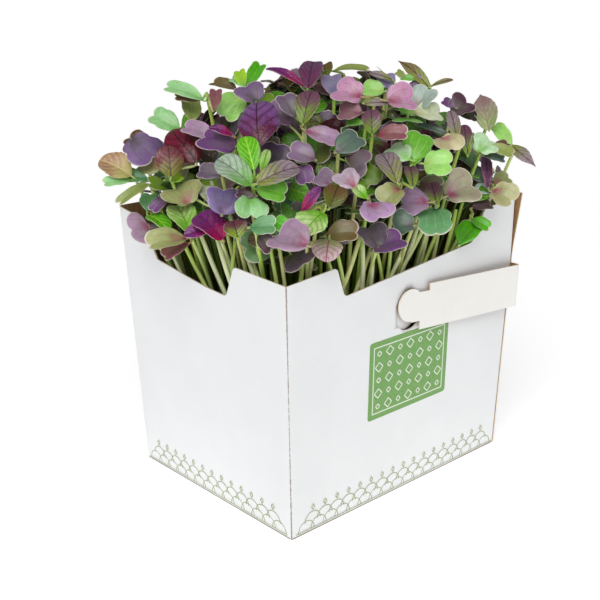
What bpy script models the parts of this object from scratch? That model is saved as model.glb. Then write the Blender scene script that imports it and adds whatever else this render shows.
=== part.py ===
"""Pak choi microgreens growing in a tray inside an open folded carton.

Units are metres, +Z is up, and the origin is the middle of the carton's underside.
The two die-cut walls are the -X wall and the -Y wall, which meet at the low front corner.
"""
import math

import bmesh
import bpy
from mathutils import Matrix, Vector

MM = 0.001
GAP = 0.3 * MM                   # clearance between pieces that touch

# Carton: one sheet of board, flaring a little towards its open top
BASE_X = 120 * MM
BASE_Y = 94 * MM
HEIGHT = 112 * MM
FLARE = 3.75 * MM                # how far each wall leans out at HEIGHT
BOARD = 0.6 * MM
ARC_STEPS = 4                    # in each rounded corner of a die-cut edge
LEAN = FLARE / HEIGHT

# Free right corner: the +X wall runs on past the -Y wall, which ends in a cut edge
LIP_REACH = 2.2 * MM             # at the top, none at the base
SLIT_WIDTH = 0.5 * MM
SLIT_FOOT = 3 * MM
SLIT_SPREAD = 86 * MM            # above this height the cut edge springs away from the lip
SLIT_TOP_WIDTH = 1.8 * MM
LIP_ROOT = 2 * MM                # how far the lip's plate runs back into the +X wall
LIP_FOOT_Z = 1 * MM
LIP_TOP_DROP = 0.2 * MM
LIP_INSET = 0.06 * MM            # keeps the plate's faces off the wall's own

# Closing strap: part of the +X wall's board, folded round the right corner
STRAP_MID_Z = 73.9 * MM
STRAP_WIDTH = 18 * MM
STRAP_LENGTH = 56 * MM           # from the fold to the shoulders
STRAP_RISE = math.radians(3.1)   # it climbs towards its tongue
SHOULDER_SLANT = 2.5 * MM
SHOULDER_STEP = 0.6 * MM         # the neck starts this far in from each shoulder's end
FOLD_X = 62.4 * MM
FOLD_Y = -54.0 * MM
FOLD_CLEAR = 0.6 * MM            # bare crease left between the wall's tab and the strap
STRAP_TURN_IN = math.radians(2.6)   # its far end lies closer to the wall
TONGUE_RADIUS = 6.8 * MM
TONGUE_REACH = 64.8 * MM         # from the fold to the middle of the tongue
TONGUE_STEPS = 24
NECK_HALF = 5.4 * MM
HOLE_X = -1.5 * MM
HOLE_Z = 77.7 * MM
HOLE_RADIUS = 7.8 * MM
CUT_DEPTH = 12 * MM              # thickness of the tools that cut a wall
CUT_ABOVE = 20 * MM              # how far they reach above the carton

# Growing tray and the medium in it
TRAY_FOOT = (106 * MM, 80 * MM)
TRAY_RIM = (113 * MM, 87 * MM)
TRAY_HEIGHT = 62 * MM
TRAY_WALL = 0.8 * MM
MEDIUM_TOP = 60 * MM
MEDIUM_SPARE = 0.05 * MM         # added to GAP at the sides, because the tray's walls lean

# Seedlings
STEM_RADIUS = 0.85 * MM
STEM_BEND = 1.7                  # above 1, the stem rises straight and leans over near its top
STEM_RINGS = 5
ROOT_SHRINK = (0.80, 0.76)       # roots stand closer together than heads
BLADE_THICK = 1.1 * MM
BLADE_OVERLAP = 1.4 * MM         # how far a blade's inner end passes the stem's tip
BLADE_WIDTH = 0.8                # of its length
BLADE_DROP = 0.3 * MM            # below the stem's end
BLADE_TILTS = (28, 12)           # rise of the first and second leaf, degrees
PAIR_ANGLE = math.radians(167)   # between a seedling's two leaves, seen from above

# Die-cut top edge of each front wall: (distance along the wall, height, corner radius) in mm
LEFT_EDGE = (
    (70, 113.0, 0), (50.7, 111.4, 0), (35.0, 108.8, 2), (26.0, 93.9, 1.5), (-4.0, 89.4, 0),
    (-17.0, 88.4, 2.5), (-22.2, 100.6, 2), (-50.7, 99.2, 0), (-70, 99.2, 0),
)
RIGHT_EDGE = (
    (-70, 99.2, 0), (-63.6, 99.2, 0), (-39.6, 101.2, 2), (-35.6, 89.6, 2.5), (35.2, 96.6, 3),
    (42.2, 109.0, 1), (64.0, 111.6, 0), (80, 112.6, 0),
)

# Planting plan: head x, y and height in mm, heading of the first leaf in degrees, leaf length in mm
PLAN = (
    (-61, 37, 122, 150, 15), (-54, 42, 135, 200, 15), (-45, 25, 144, 120, 14), (-38, 17, 156, 150, 13),
    (-20, 27, 155, 60, 14), (-43, -13, 140, 95, 16), (-55, -24, 129, 140, 15), (-62, -15, 116, 250, 14),
    (-62, 3, 106, 190, 14), (-64, 24, 104, 200, 14), (-58, 12, 129, 100, 16),
    (-47, -2, 139, 205, 15), (-63, -28, 108, 230, 12), (-62, -39, 116, 130, 12), (-54, -49, 111, 215, 16),
    (-42, -45, 125, 245, 14), (-36, -50, 107, 250, 13), (-25, -48, 120, 240, 15), (-18, -50, 103, 240, 14),
    (-9, -46, 127, 110, 13), (-4, -50, 110, 245, 13), (3, -43, 134, 330, 15), (13, -50, 115, 300, 15),
    (19, -42, 140, 150, 13), (28, -46, 130, 320, 13), (27, -50, 101, 280, 11), (45, -48, 116, 300, 13),
    (58, -46, 129, 335, 15), (55, -37, 141, 20, 13), (41, -32, 148, 30, 13), (18, -30, 148, 60, 14),
    (-8, -34, 142, 340, 13), (-25, -36, 139, 70, 14), (-36, -28, 134, 60, 13), (-22, -18, 147, 60, 14),
    (4, -22, 153, 315, 14), (20, -14, 157, 80, 13), (34, -20, 156, 120, 13), (12, 8, 162, 330, 13),
    (-8, -2, 158, 140, 14), (-26, 6, 153, 20, 13), (-38, 44, 138, 110, 14), (-18, 46, 141, 80, 14),
    (2, 38, 149, 95, 14), (20, 46, 140, 70, 14), (40, 44, 138, 45, 14), (58, 42, 128, 30, 14),
    (60, 22, 133, 10, 14), (61, 2, 135, 350, 14), (60, -18, 137, 20, 13), (40, 20, 150, 60, 14),
    (18, 28, 156, 150, 14), (42, -2, 155, 20, 13),
)

BOARD_WHITE = (0.84, 0.84, 0.83, 1)
STRAP_WHITE = (0.86, 0.85, 0.82, 1)
FIBRE_BROWN = (0.30, 0.21, 0.13, 1)
PEAT_BROWN = (0.05, 0.035, 0.022, 1)
LEAF_COLOURS = ((0.20, 0.42, 0.09, 1), (0.24, 0.13, 0.30, 1), (0.36, 0.20, 0.27, 1), (0.16, 0.27, 0.15, 1))


def clear_scene():
    for obj in list(bpy.data.objects):
        bpy.data.objects.remove(obj, do_unlink=True)


def new_collection(name):
    collection = bpy.data.collections.new(name)
    bpy.context.scene.collection.children.link(collection)
    return collection


def new_material(name, colour, roughness):
    material = bpy.data.materials.new(name)
    material.use_nodes = True
    shader = material.node_tree.nodes["Principled BSDF"]
    shader.inputs["Base Color"].default_value = colour
    shader.inputs["Roughness"].default_value = roughness
    shader.inputs["Metallic"].default_value = 0.0
    return material


def add_object(name, mesh, collection, material=None):
    obj = bpy.data.objects.new(name, mesh)
    collection.objects.link(obj)
    if material:
        mesh.materials.append(material)
    return obj


def mesh_from_curve(obj):
    """The curve as a welded mesh object of the same name and place."""
    bpy.context.view_layer.update()
    evaluated = obj.evaluated_get(bpy.context.evaluated_depsgraph_get())
    mesh = bpy.data.meshes.new_from_object(evaluated)
    bm = bmesh.new()
    bm.from_mesh(mesh)
    bmesh.ops.remove_doubles(bm, verts=bm.verts, dist=0.00001)
    bmesh.ops.recalc_face_normals(bm, faces=bm.faces)
    bm.to_mesh(mesh)
    bm.free()
    name = obj.name
    collection = obj.users_collection[0]
    placed = obj.matrix_world.copy()
    bpy.data.objects.remove(obj, do_unlink=True)
    solid = add_object(name, mesh, collection)
    solid.matrix_world = placed
    return solid


def make_cutter(obj):
    obj.hide_render = True
    obj.display_type = "WIRE"


def boolean(target, tool, operation):
    modifier = target.modifiers.new(tool.name, "BOOLEAN")
    modifier.operation = operation
    modifier.solver = "EXACT"
    modifier.object = tool
    make_cutter(tool)


def rounded(corners):
    """A chain of (a, b, radius) corners in mm as points in metres, each round corner an arc."""
    points = []
    for index, (a, b, radius) in enumerate(corners):
        here = Vector((a, b))
        if radius == 0:
            points.append(here * MM)
            continue
        before = (Vector(corners[index - 1][:2]) - here).normalized()
        after = (Vector(corners[index + 1][:2]) - here).normalized()
        half = before.angle(after) / 2
        reach = radius / math.tan(half)
        centre = here + (before + after).normalized() * (radius / math.sin(half))
        start = here + before * reach - centre
        finish = here + after * reach - centre
        for step in range(ARC_STEPS + 1):
            swing = start.lerp(finish, step / ARC_STEPS).normalized() * radius
            points.append((centre + swing) * MM)
    return points


def flat_plate(name, points, thickness, collection):
    """A closed outline in the XY plane, thick along Z, as a curve object."""
    curve = bpy.data.curves.new(name, "CURVE")
    curve.dimensions = "2D"
    curve.fill_mode = "BOTH"
    curve.extrude = thickness / 2
    spline = curve.splines.new("POLY")
    spline.points.add(len(points) - 1)
    for point, (a, b) in zip(spline.points, points):
        point.co = (a, b, 0, 1)
    spline.use_cyclic_u = True
    obj = bpy.data.objects.new(name, curve)
    collection.objects.link(obj)
    return obj


def tapered_box(foot, top, height, open_top):
    """A box whose top is a different size from its foot, standing on z = 0."""
    mesh = bpy.data.meshes.new("tapered_box")
    bm = bmesh.new()
    bmesh.ops.create_cube(bm, size=1.0)
    for vert in bm.verts:
        size = top if vert.co.z > 0 else foot
        vert.co = Vector((vert.co.x * size[0], vert.co.y * size[1], (vert.co.z + 0.5) * height))
    if open_top:
        bm.faces.ensure_lookup_table()
        lid = max(bm.faces, key=lambda face: face.calc_center_median().z)
        bmesh.ops.delete(bm, geom=[lid], context="FACES_ONLY")
    bm.to_mesh(mesh)
    bm.free()
    return mesh


def solidify_inwards(obj, thickness):
    modifier = obj.modifiers.new("Board", "SOLIDIFY")
    modifier.thickness = thickness
    modifier.offset = -1
    modifier.use_even_offset = True


def edge_cutter(name, edge, cutters):
    """A prism that takes away everything above a wall's die-cut edge, standing in the XZ plane."""
    above = HEIGHT + CUT_ABOVE
    points = rounded(edge)
    points += [Vector((points[-1].x, above)), Vector((points[0].x, above))]
    plate = flat_plate(name, points, CUT_DEPTH, cutters)
    plate.rotation_euler = (math.radians(90), 0, 0)
    return plate


def build_carton(parts, cutters):
    top = (BASE_X + 2 * FLARE, BASE_Y + 2 * FLARE)
    shell = tapered_box((BASE_X, BASE_Y), top, HEIGHT, open_top=True)
    carton = add_object("carton", shell, parts, new_material("white_board", BOARD_WHITE, 0.55))
    solidify_inwards(carton, BOARD)
    boolean(carton, corner_lip(cutters), "UNION")
    boolean(carton, corner_slit(cutters), "DIFFERENCE")

    left = mesh_from_curve(edge_cutter("left_wall_cut", LEFT_EDGE, cutters))
    left.rotation_euler = (math.radians(90), 0, math.radians(90))
    left.location = (-BASE_X / 2 - FLARE, 0, 0)
    boolean(carton, left, "DIFFERENCE")
    right = mesh_from_curve(edge_cutter("right_wall_cut", RIGHT_EDGE, cutters))
    right.location = (0, -BASE_Y / 2 - FLARE, 0)
    boolean(carton, right, "DIFFERENCE")
    boolean(carton, tongue_hole(cutters), "DIFFERENCE")


def corner_lip(cutters):
    """The strip of the +X wall that stands forward of the -Y wall, with the strap's stub up to its fold."""
    back = -BASE_Y / 2 + LIP_ROOT
    foot_z = LIP_FOOT_Z
    top_z = HEIGHT - LIP_TOP_DROP
    low = STRAP_MID_Z - STRAP_WIDTH / 2
    high = STRAP_MID_Z + STRAP_WIDTH / 2

    def lip_y(z):
        return -BASE_Y / 2 - (FLARE + LIP_REACH) * z / HEIGHT

    def fold_y(z):
        return FOLD_Y + FOLD_CLEAR - LEAN * (z - STRAP_MID_Z)

    outline = [
        (back, foot_z), (back, top_z), (lip_y(top_z), top_z), (lip_y(high), high), (fold_y(high), high),
        (fold_y(low), low), (lip_y(low), low), (lip_y(foot_z), foot_z),
    ]
    plate = mesh_from_curve(flat_plate("corner_lip", outline, BOARD - 2 * LIP_INSET, cutters))
    stand = Matrix.Rotation(math.radians(90), 4, "Z") @ Matrix.Rotation(math.radians(90), 4, "X")
    lean = Matrix.Identity(4)
    lean[0][2] = LEAN
    lean[0][3] = BASE_X / 2 - BOARD / 2
    plate.data.transform(lean @ stand)
    return plate


def corner_slit(cutters):
    """The cut between the -Y wall's free edge and the lip, which opens towards the top."""
    inner = BASE_X / 2 - BOARD
    top_x = inner + LEAN * HEIGHT
    spread_x = inner + LEAN * SLIT_SPREAD
    foot_x = inner + LEAN * SLIT_FOOT
    over = HEIGHT + CUT_ABOVE
    outline = [
        (foot_x, SLIT_FOOT), (spread_x, SLIT_SPREAD), (top_x, HEIGHT), (top_x, over),
        (top_x - SLIT_TOP_WIDTH, over), (top_x - SLIT_TOP_WIDTH, HEIGHT),
        (spread_x - SLIT_WIDTH, SLIT_SPREAD), (foot_x - SLIT_WIDTH, SLIT_FOOT),
    ]
    slit = mesh_from_curve(flat_plate("corner_slit", outline, CUT_DEPTH, cutters))
    slit.rotation_euler = (math.radians(90), 0, 0)
    slit.location = (0, -BASE_Y / 2 - FLARE / 2, 0)
    return slit


def tongue_hole(cutters):
    bpy.ops.mesh.primitive_cylinder_add(
        vertices=32, radius=HOLE_RADIUS, depth=CUT_DEPTH, rotation=(math.radians(90), 0, 0),
        location=(HOLE_X, -BASE_Y / 2 - FLARE, HOLE_Z))
    hole = bpy.context.object
    hole.name = "tongue_hole"
    for collection in list(hole.users_collection):
        collection.objects.unlink(hole)
    cutters.objects.link(hole)
    return hole


def strap_outline():
    """The strap laid flat: its fold on the y axis, running to -x, with a neck and a round tongue."""
    half = STRAP_WIDTH / 2
    start = -FOLD_CLEAR
    top_shoulder = -STRAP_LENGTH + SHOULDER_SLANT
    low_shoulder = -STRAP_LENGTH - SHOULDER_SLANT
    neck_angle = math.asin(NECK_HALF / TONGUE_RADIUS)
    points = [(start, -half), (start, half), (top_shoulder, half), (top_shoulder - SHOULDER_STEP, NECK_HALF)]
    for step in range(TONGUE_STEPS + 1):
        turn = neck_angle + (2 * math.pi - 2 * neck_angle) * step / TONGUE_STEPS
        points.append((-TONGUE_REACH + TONGUE_RADIUS * math.cos(turn), TONGUE_RADIUS * math.sin(turn)))
    points += [(low_shoulder + SHOULDER_STEP, -NECK_HALF), (low_shoulder, -half)]
    return points


def build_strap(parts):
    strap = mesh_from_curve(flat_plate("closing_strap", strap_outline(), BOARD, parts))
    strap.data.materials.append(new_material("white_strap_board", STRAP_WHITE, 0.55))
    stand = Matrix.Rotation(math.radians(90) + LEAN, 4, "X")
    rise = Matrix.Rotation(-STRAP_RISE, 4, "Z")
    turn_in = Matrix.Rotation(-STRAP_TURN_IN, 4, "Z")
    strap.data.transform(turn_in @ stand @ rise)
    strap.parent = fold_axis(parts)


def fold_axis(collection):
    """An empty on the crease that the strap turns about."""
    axis = bpy.data.objects.new("strap_fold_axis", None)
    axis.location = (FOLD_X, FOLD_Y, STRAP_MID_Z)
    collection.objects.link(axis)
    return axis


def build_tray(parts):
    mesh = tapered_box(TRAY_FOOT, TRAY_RIM, TRAY_HEIGHT, open_top=True)
    tray = add_object("growing_tray", mesh, parts, new_material("pressed_fibre", FIBRE_BROWN, 0.7))
    tray.location.z = BOARD + GAP
    solidify_inwards(tray, TRAY_WALL)


def build_medium(parts):
    """A block of growing medium that fills the tray, a hair clear of it all round."""
    foot_z = BOARD + GAP + TRAY_WALL + GAP
    height = MEDIUM_TOP - foot_z
    side = 2 * (TRAY_WALL + GAP + MEDIUM_SPARE)

    def span(axis, z):
        share = (z - BOARD - GAP) / TRAY_HEIGHT
        return TRAY_FOOT[axis] + (TRAY_RIM[axis] - TRAY_FOOT[axis]) * share - side

    foot = (span(0, foot_z), span(1, foot_z))
    top = (span(0, MEDIUM_TOP), span(1, MEDIUM_TOP))
    mesh = tapered_box(foot, top, height, open_top=False)
    medium = add_object("growing_medium", mesh, parts, new_material("damp_peat", PEAT_BROWN, 0.95))
    medium.location.z = foot_z


def stem_solid(name, root, head, parts):
    """A stem that rises straight from its root and leans over towards its head."""
    curve = bpy.data.curves.new(name, "CURVE")
    curve.dimensions = "3D"
    curve.bevel_depth = STEM_RADIUS
    curve.bevel_resolution = 0
    curve.use_fill_caps = True
    spline = curve.splines.new("POLY")
    spline.points.add(STEM_RINGS - 1)
    for index, point in enumerate(spline.points):
        share = index / (STEM_RINGS - 1)
        lean = share ** STEM_BEND
        x = root.x + (head.x - root.x) * lean
        y = root.y + (head.y - root.y) * lean
        point.co = (x, y, root.z + (head.z - root.z) * share, 1)
    obj = bpy.data.objects.new(name, curve)
    parts.objects.link(obj)
    stem = mesh_from_curve(obj)
    stem.data.shade_smooth()
    stem.data.set_sharp_from_angle(angle=math.radians(80))
    return stem


def blade_solid(name, head, heading, tilt, length, cutters):
    """A leaf blade as a thin flat ellipsoid that springs from the head."""
    mesh = bpy.data.meshes.new(name)
    bm = bmesh.new()
    bmesh.ops.create_uvsphere(bm, u_segments=8, v_segments=4, radius=0.5)
    size = Matrix.Diagonal((length, length * BLADE_WIDTH, BLADE_THICK, 1))
    out = Matrix.Translation((length / 2 - BLADE_OVERLAP, 0, 0))
    turn = Matrix.Rotation(heading, 4, "Z") @ Matrix.Rotation(-tilt, 4, "Y")
    bm.transform(Matrix.Translation(head) @ turn @ out @ size)
    bm.to_mesh(mesh)
    bm.free()
    mesh.shade_smooth()
    return add_object(name, mesh, cutters)


def build_seedlings(parts, cutters):
    for index, (x, y, z, heading, length) in enumerate(PLAN):
        name = f"seedling_{index + 1:02d}"
        head = Vector((x, y, z)) * MM
        root = Vector((head.x * ROOT_SHRINK[0], head.y * ROOT_SHRINK[1], MEDIUM_TOP + GAP))
        stem = stem_solid(name, root, head, parts)
        stem.data.materials.append(new_material(name, LEAF_COLOURS[index % len(LEAF_COLOURS)], 0.5))
        tip = head - Vector((0, 0, BLADE_DROP))
        for side, rise in enumerate(BLADE_TILTS):
            turn = math.radians(heading) + PAIR_ANGLE * side
            blade = blade_solid(f"{name}_blade_{side}", tip, turn, math.radians(rise), length * MM, cutters)
            boolean(stem, blade, "UNION")


def main():
    clear_scene()
    parts = new_collection("pak_choi_microgreens_tray")
    cutters = new_collection("cutters")
    build_carton(parts, cutters)
    build_strap(parts)
    build_tray(parts)
    build_medium(parts)
    build_seedlings(parts, cutters)


main()
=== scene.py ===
"""Finish of a carton of pak choi microgreens: printed board, strap, tray, medium and every plant.

Lengths inside the functions are millimetres and become metres where a mesh is made. The frame's
origin is the middle of the carton's underside, +Z is up, and the die-cut walls face -X and -Y.
"""
import math
from collections import namedtuple

import bpy
import numpy as np
from bpy.props import FloatProperty, FloatVectorProperty, IntProperty, PointerProperty
from mathutils import Matrix, Vector


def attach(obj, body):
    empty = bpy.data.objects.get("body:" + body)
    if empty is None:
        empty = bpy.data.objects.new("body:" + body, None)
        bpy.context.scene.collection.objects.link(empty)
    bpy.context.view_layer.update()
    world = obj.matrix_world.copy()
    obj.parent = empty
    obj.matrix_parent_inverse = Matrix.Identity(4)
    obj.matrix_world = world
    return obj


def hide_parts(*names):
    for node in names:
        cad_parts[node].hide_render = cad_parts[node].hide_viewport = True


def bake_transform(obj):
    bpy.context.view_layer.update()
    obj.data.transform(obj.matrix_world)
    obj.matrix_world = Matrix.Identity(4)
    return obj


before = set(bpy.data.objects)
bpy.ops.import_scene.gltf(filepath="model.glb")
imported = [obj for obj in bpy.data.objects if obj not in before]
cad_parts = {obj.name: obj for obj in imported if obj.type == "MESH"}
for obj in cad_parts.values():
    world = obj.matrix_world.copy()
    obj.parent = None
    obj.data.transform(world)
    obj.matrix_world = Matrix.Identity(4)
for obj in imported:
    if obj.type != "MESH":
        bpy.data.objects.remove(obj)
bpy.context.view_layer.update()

bl_info = {
    "name": "Microgreens carton",
    "version": (1, 0, 0),
    "blender": (4, 5, 0),
    "location": "View3D > Sidebar > Microgreens",
    "description": "Builds a die-cut board carton with a tray of growing pak choi seedlings",
    "category": "Add Mesh",
}

MM = 0.001
WELD = 0.0005                    # mm, points nearer than this become one

# The photo's camera, found from the carton's corners
CAMERA_PLACE = np.array((-272.87, -291.50, 198.07))
CAMERA_YAW = math.radians(41.814)
CAMERA_DOWN = math.radians(17.910)
CAMERA_ROLL = math.radians(-0.8325)
LENS_MM = 60
SENSOR_MM = 36
PICTURE = 600                    # pixels across
FOCAL = LENS_MM / SENSOR_MM * PICTURE
AWAY = (0.6668, 0.7452)          # level direction of the view, as x and y

# Carton
BASE_X = 120
BASE_Y = 94
HEIGHT = 112
FLARE = 3.75                     # how far each wall leans out at its top
LEAN = FLARE / HEIGHT
CORNER = 0.8                     # radius of a folded corner
CORNER_STEPS = 5
WALL_ROWS = 22
WALL_COLUMNS = {"front": 41, "left": 33, "back": 15, "side": 15}
BACK_DROP = 0.3                  # the two back walls stand this much lower than HEIGHT
SIDE_RISE = 1.1                  # rise of the side wall's top edge towards the front
LIP_REACH = 2.2                  # how far the side wall's lip stands proud at its top
LIP_FROM = 88                    # height above which it does
SLIT = 0.5                       # gap between the front wall's free edge and the side wall
SLIT_WIDENS = 1.3                # more of it at the top
SLIT_SPREAD = 86                 # height above which the gap widens
FOOT_ROW = 0.009                 # share of a wall's height up to which the painted contact shadow line at its foot shows
# Painted contact shadow: the crease value of each wall's bottom row, which draws a dark line along the floor
FOOT_PAINTED_SHADOW = 2.2
CORNER_FADE = 0.75               # how much less worn a corner is beside its middle
MIDDLE_SPARED = 0.2              # how much less worn it is halfway up
FLOOR_GAP = 0.02

# Strap, in lengths from its fold
STRAP_MID_Z = 73.9
STRAP_ROOT = -4.4
STRAP_LENGTH = 56
STRAP_HALF = 9
STRAP_RISE = math.radians(3.1)
STRAP_TURN_IN = math.radians(2.6)
STRAP_BEND = 1.2                 # radius of the fold
SHOULDER_SLANT = 2.5
FOLD_X = 62.2
FOLD_Y = -54.0
TONGUE_RADIUS = 6.5
TONGUE_REACH = 63.65
TONGUE_LIFT = 1.6                # the tongue's middle stands this far above the strap's
NECK_TOP = 6.2
NECK_LOW = 5.4

# Hole behind the tongue, and its disc
HOLE_X = -1.0
HOLE_Z = 76.5
HOLE_RADIUS = 7.8
HOLE_CHORD = math.radians(32)    # half the arc along which the disc is still joined
HOLE_BEND = math.radians(9)
FLAP_PLAY = 0.1                  # how much smaller the disc is than its hole
FLAP_INSET = 0.03

# Prints
FILM = 0.03                      # thickness of the ink
INK_LIFT = 0.02                  # from the board to the first ink
PALE_LIFT = 0.06                 # to the ink that is printed over it
PANEL_MIDDLE = (0.55, 52.0)
PANEL_HALF = (22.5, 16.0)
PANEL_CORNER = 1.2
FRAME_INSET = 2.4
FRAME_LINE = 0.5
LOZENGE_LINE = 0.45
LOZENGE_COLUMNS = 7
LOZENGE_ROWS = 5
LOZENGE_LARGE = 0.36             # half a lozenge's size as a share of its cell
LOZENGE_SMALL = 0.2
BORDER_STEP = 6.2
BORDER_FOOT = 1.4
BORDER_RISE = 3.1
BORDER_ARC = 3.9
BORDER_TIERS = 2
BUD_LIFT = 1.9                   # from an arc's crown to the middle of its lozenge
BUD_HALF = (0.8, 1.2)
TIER_LIFT = 0.07                 # how much prouder the next tier of arcs is, so that none meet
BUD_PROUD = (0.24, 0.27)
FOOT_PROUD = 0.30

# Plants
MEDIUM_TOP = 60
ROOT_LIFT = 0.1
ROOT_SHRINK = np.array((0.80, 0.76))
ROOT_LIMIT = (50, 37)            # roots of the bare stems stay this near the middle
STEM_BEND = 1.7
STEM_SHRINK = 0.3                # how much thinner a stem is at its head
FRONT_REACH = 3                  # how far the front plants' leaves stand before their stems' heads
CANOPY_TOP = 163
CANOPY_FALL = 53
CANOPY_BACK = 25                 # the dome's middle stands this far behind the carton's
CANOPY_DEPTH = 105
CANOPY_WIDTH = 108
CANOPY_MIDDLE = np.array((17, 19))
RISE_BACK = 15                   # inner heads stand higher from this far behind the carton's middle
BACK_FADE = 30                   # distance over which they do, and over which the painted shade of their leaves lightens
LOBE_APART = 0.78                # distance of a lobe's centre from the midline, in lobe radii
# Painted shade: factor that darkens stems low among the leaves
STEM_PAINTED_SHADE = np.array((0.19, 0.26, 0.10, 1))
CUT_LEFT = (-20, 28)             # stretch of the left wall's cut-out along y
CUT_FRONT = (-38, 36)            # stretch of the front wall's cut-out along x
LEFT_STRIP = 16                  # width of the strip inside the left wall where heads stand low
FRONT_STRIP = 14
SEED_LEAF, TRUE_LEAF, STEM = 0, 1, 2

# Lights: where each shines from, and its spread in degrees
KEY_FROM = (-0.50, -0.40, 0.75)
KEY_SPREAD = 44
FILL_FROM = (-0.55, -0.60, 0.35)
FILL_SPREAD = 70
WHITE_SEEN = 1.02                # brightness of the surround that the camera sees

# Die-cut top edges: distance along the wall, height and corner radius
LEFT_EDGE = (
    (70, 113.0, 0), (50.7, 111.4, 0), (35.0, 108.8, 2), (26.0, 93.9, 1.5), (-4.0, 89.4, 0),
    (-17.0, 88.4, 2.5), (-22.2, 100.6, 2), (-50.7, 99.2, 0), (-70, 99.2, 0),
)
RIGHT_EDGE = (
    (-70, 99.2, 0), (-63.6, 99.2, 0), (-39.6, 101.2, 2), (-35.6, 89.6, 2.5), (35.2, 96.6, 3),
    (42.2, 109.0, 1), (64.0, 111.6, 0), (80, 112.6, 0),
)

# Heads of the modelled seedlings, in the order of their numbers
HEADS = (
    (-61, 37, 122), (-54, 42, 135), (-45, 25, 144), (-38, 17, 156), (-20, 27, 155), (-43, -13, 140),
    (-55, -24, 129), (-62, -15, 116), (-62, 3, 106), (-64, 24, 104), (-58, 12, 129), (-47, -2, 139),
    (-63, -28, 108), (-62, -39, 116), (-54, -49, 111), (-42, -45, 125), (-36, -50, 107), (-25, -48, 120),
    (-18, -50, 103), (-9, -46, 127), (-4, -50, 110), (3, -43, 134), (13, -50, 115), (19, -42, 140),
    (28, -46, 130), (27, -50, 101), (45, -48, 116), (58, -46, 129), (55, -37, 141), (41, -32, 148),
    (18, -30, 148), (-8, -34, 142), (-25, -36, 139), (-36, -28, 134), (-22, -18, 147), (4, -22, 153),
    (20, -14, 157), (34, -20, 156), (12, 8, 162), (-8, -2, 158), (-26, 6, 153), (-38, 44, 138),
    (-18, 46, 141), (2, 38, 149), (20, 46, 140), (40, 44, 138), (58, 42, 128), (60, 22, 133), (61, 2, 135),
    (60, -18, 137), (40, 20, 150), (18, 28, 156), (42, -2, 155),
)

# Colours of a leaf: towards its tip, at its foot, and in its veins
LOOKS = {
    "green": ("#74B254", "#86C064", "#B5DB8C"),
    "pale_green": ("#A8DC88", "#B2D686", "#D8EEB8"),
    "bright": ("#5FAE28", "#4C981C", "#A8D668"),
    "mint": ("#A0D09C", "#84C070", "#CBE8BE"),
    "mint_white": ("#C2E8C0", "#7FBE5C", "#DDF2D4"),
    "lime": ("#A3CF58", "#7DB63A", "#CFE594"),
    "teal": ("#6E9C74", "#4C8560", "#93BC94"),
    "dark_teal": ("#5A6C68", "#5C4C62", "#7A8F86"),
    "mauve": ("#AC92B0", "#964A78", "#84587A"),
    "pink": ("#C69ABC", "#9A3E6C", "#8E4470"),
    "orchid": ("#B498C0", "#A04078", "#8A4A78"),
    "dark_pink": ("#8F6878", "#7E3B60", "#6A3050"),
    "violet": ("#704A80", "#6A3A70", "#4E2C58"),
    "lilac": ("#8474A8", "#6E4482", "#5E3C78"),
    "blue_violet": ("#948AB0", "#76649A", "#6A568E"),
    "plum": ("#7E6494", "#5E4668", "#584060"),
    "grey_purple": ("#6C5C74", "#523E56", "#847A8A"),
    "dark_purple": ("#543A4C", "#56284E", "#382038"),
    "maroon_seed": ("#8A5864", "#8E2E50", "#54203A"),
    "olive_pink": ("#A6AC80", "#A06468", "#8E5C58"),
    "cream_pink": ("#C4BE9E", "#B8708A", "#A06878"),
    "rose_olive": ("#9A8688", "#A6BC88", "#84706E"),
    "grey_mint": ("#AFC2BE", "#AE9AA4", "#97506E"),
    "green_mauve": ("#A29E8E", "#964874", "#8A4068"),
    "pale_mauve": ("#B4B490", "#A04E74", "#9A5874"),
    "grey_mauve": ("#8C7694", "#7C5078", "#685070"),
    "olive": ("#8D9A62", "#7C8A48", "#B5BB80"),
    "olive_brown": ("#6E5F44", "#6A4438", "#4F352E"),
    "brown": ("#5E4438", "#4A302C", "#866650"),
    "black": ("#30242A", "#2A2024", "#4A3A3C"),
    "white_leaf": ("#D6E0C8", "#C6C29E", "#B6C48C"),
    "white_mauve": ("#C2B2C8", "#9C3A66", "#8C5878"),
    "big_violet": ("#84609A", "#5A1424", "#34122A"),
    "big_maroon": ("#74283E", "#561A20", "#2A0C14"),
    "brown_true": ("#7E5056", "#7E8840", "#4A2A30"),
    "magenta": ("#763A76", "#A82C5A", "#4E2050"),
    "dusky": ("#6E444C", "#8DA84C", "#38202C"),
    "purple_green": ("#745464", "#7C9E34", "#482E40"),
    "purple": ("#6E4C6C", "#6E3858", "#38223C"),
    "pale_true": ("#B0C2B4", "#6CAE40", "#687468"),
    "mauve_true": ("#9C929A", "#8C9A50", "#58404C"),
    "lime_true": ("#C4D8A4", "#7AB428", "#5C8E2C"),
    "striped": ("#C0B4B8", "#96B070", "#94506C"),
    "orange": ("#A07E70", "#AEB07A", "#C8B890"),
    "olive_true": ("#8E8468", "#94A85C", "#503830"),
    "dark_olive": ("#6E5A3C", "#5E6E24", "#40301E"),
}

# Looks of an inner plant's seed leaves and of its true leaves
INNER_LOOKS = (
    ("green", "bright"), ("lime", "lime_true"), ("plum", "dark_olive"), ("mint", "bright"),
    ("green", "dusky"), ("mauve", "mauve_true"), ("violet", "big_maroon"), ("olive", "bright"),
    ("olive_pink", "olive_true"), ("grey_purple", "purple_green"), ("grey_mauve", "purple"),
    ("green_mauve", "brown_true"), ("teal", "dusky"),
)
# Colours of a stem: low down and at its head
STEM_COLOURS = (
    ("#F3FAC4", "#E2F09A"), ("#EAF7A2", "#C6E668"), ("#F8FBDA", "#E8F2B4"), ("#EEF4B6", "#D6DA88"),
)

Leaf = namedtuple("Leaf", "kind foot tip width look near face curl fold point")
Plant = namedtuple("Plant", "hub leaves seedling", defaults=(0,))
Stem = namedtuple("Stem", "top foot")


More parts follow.
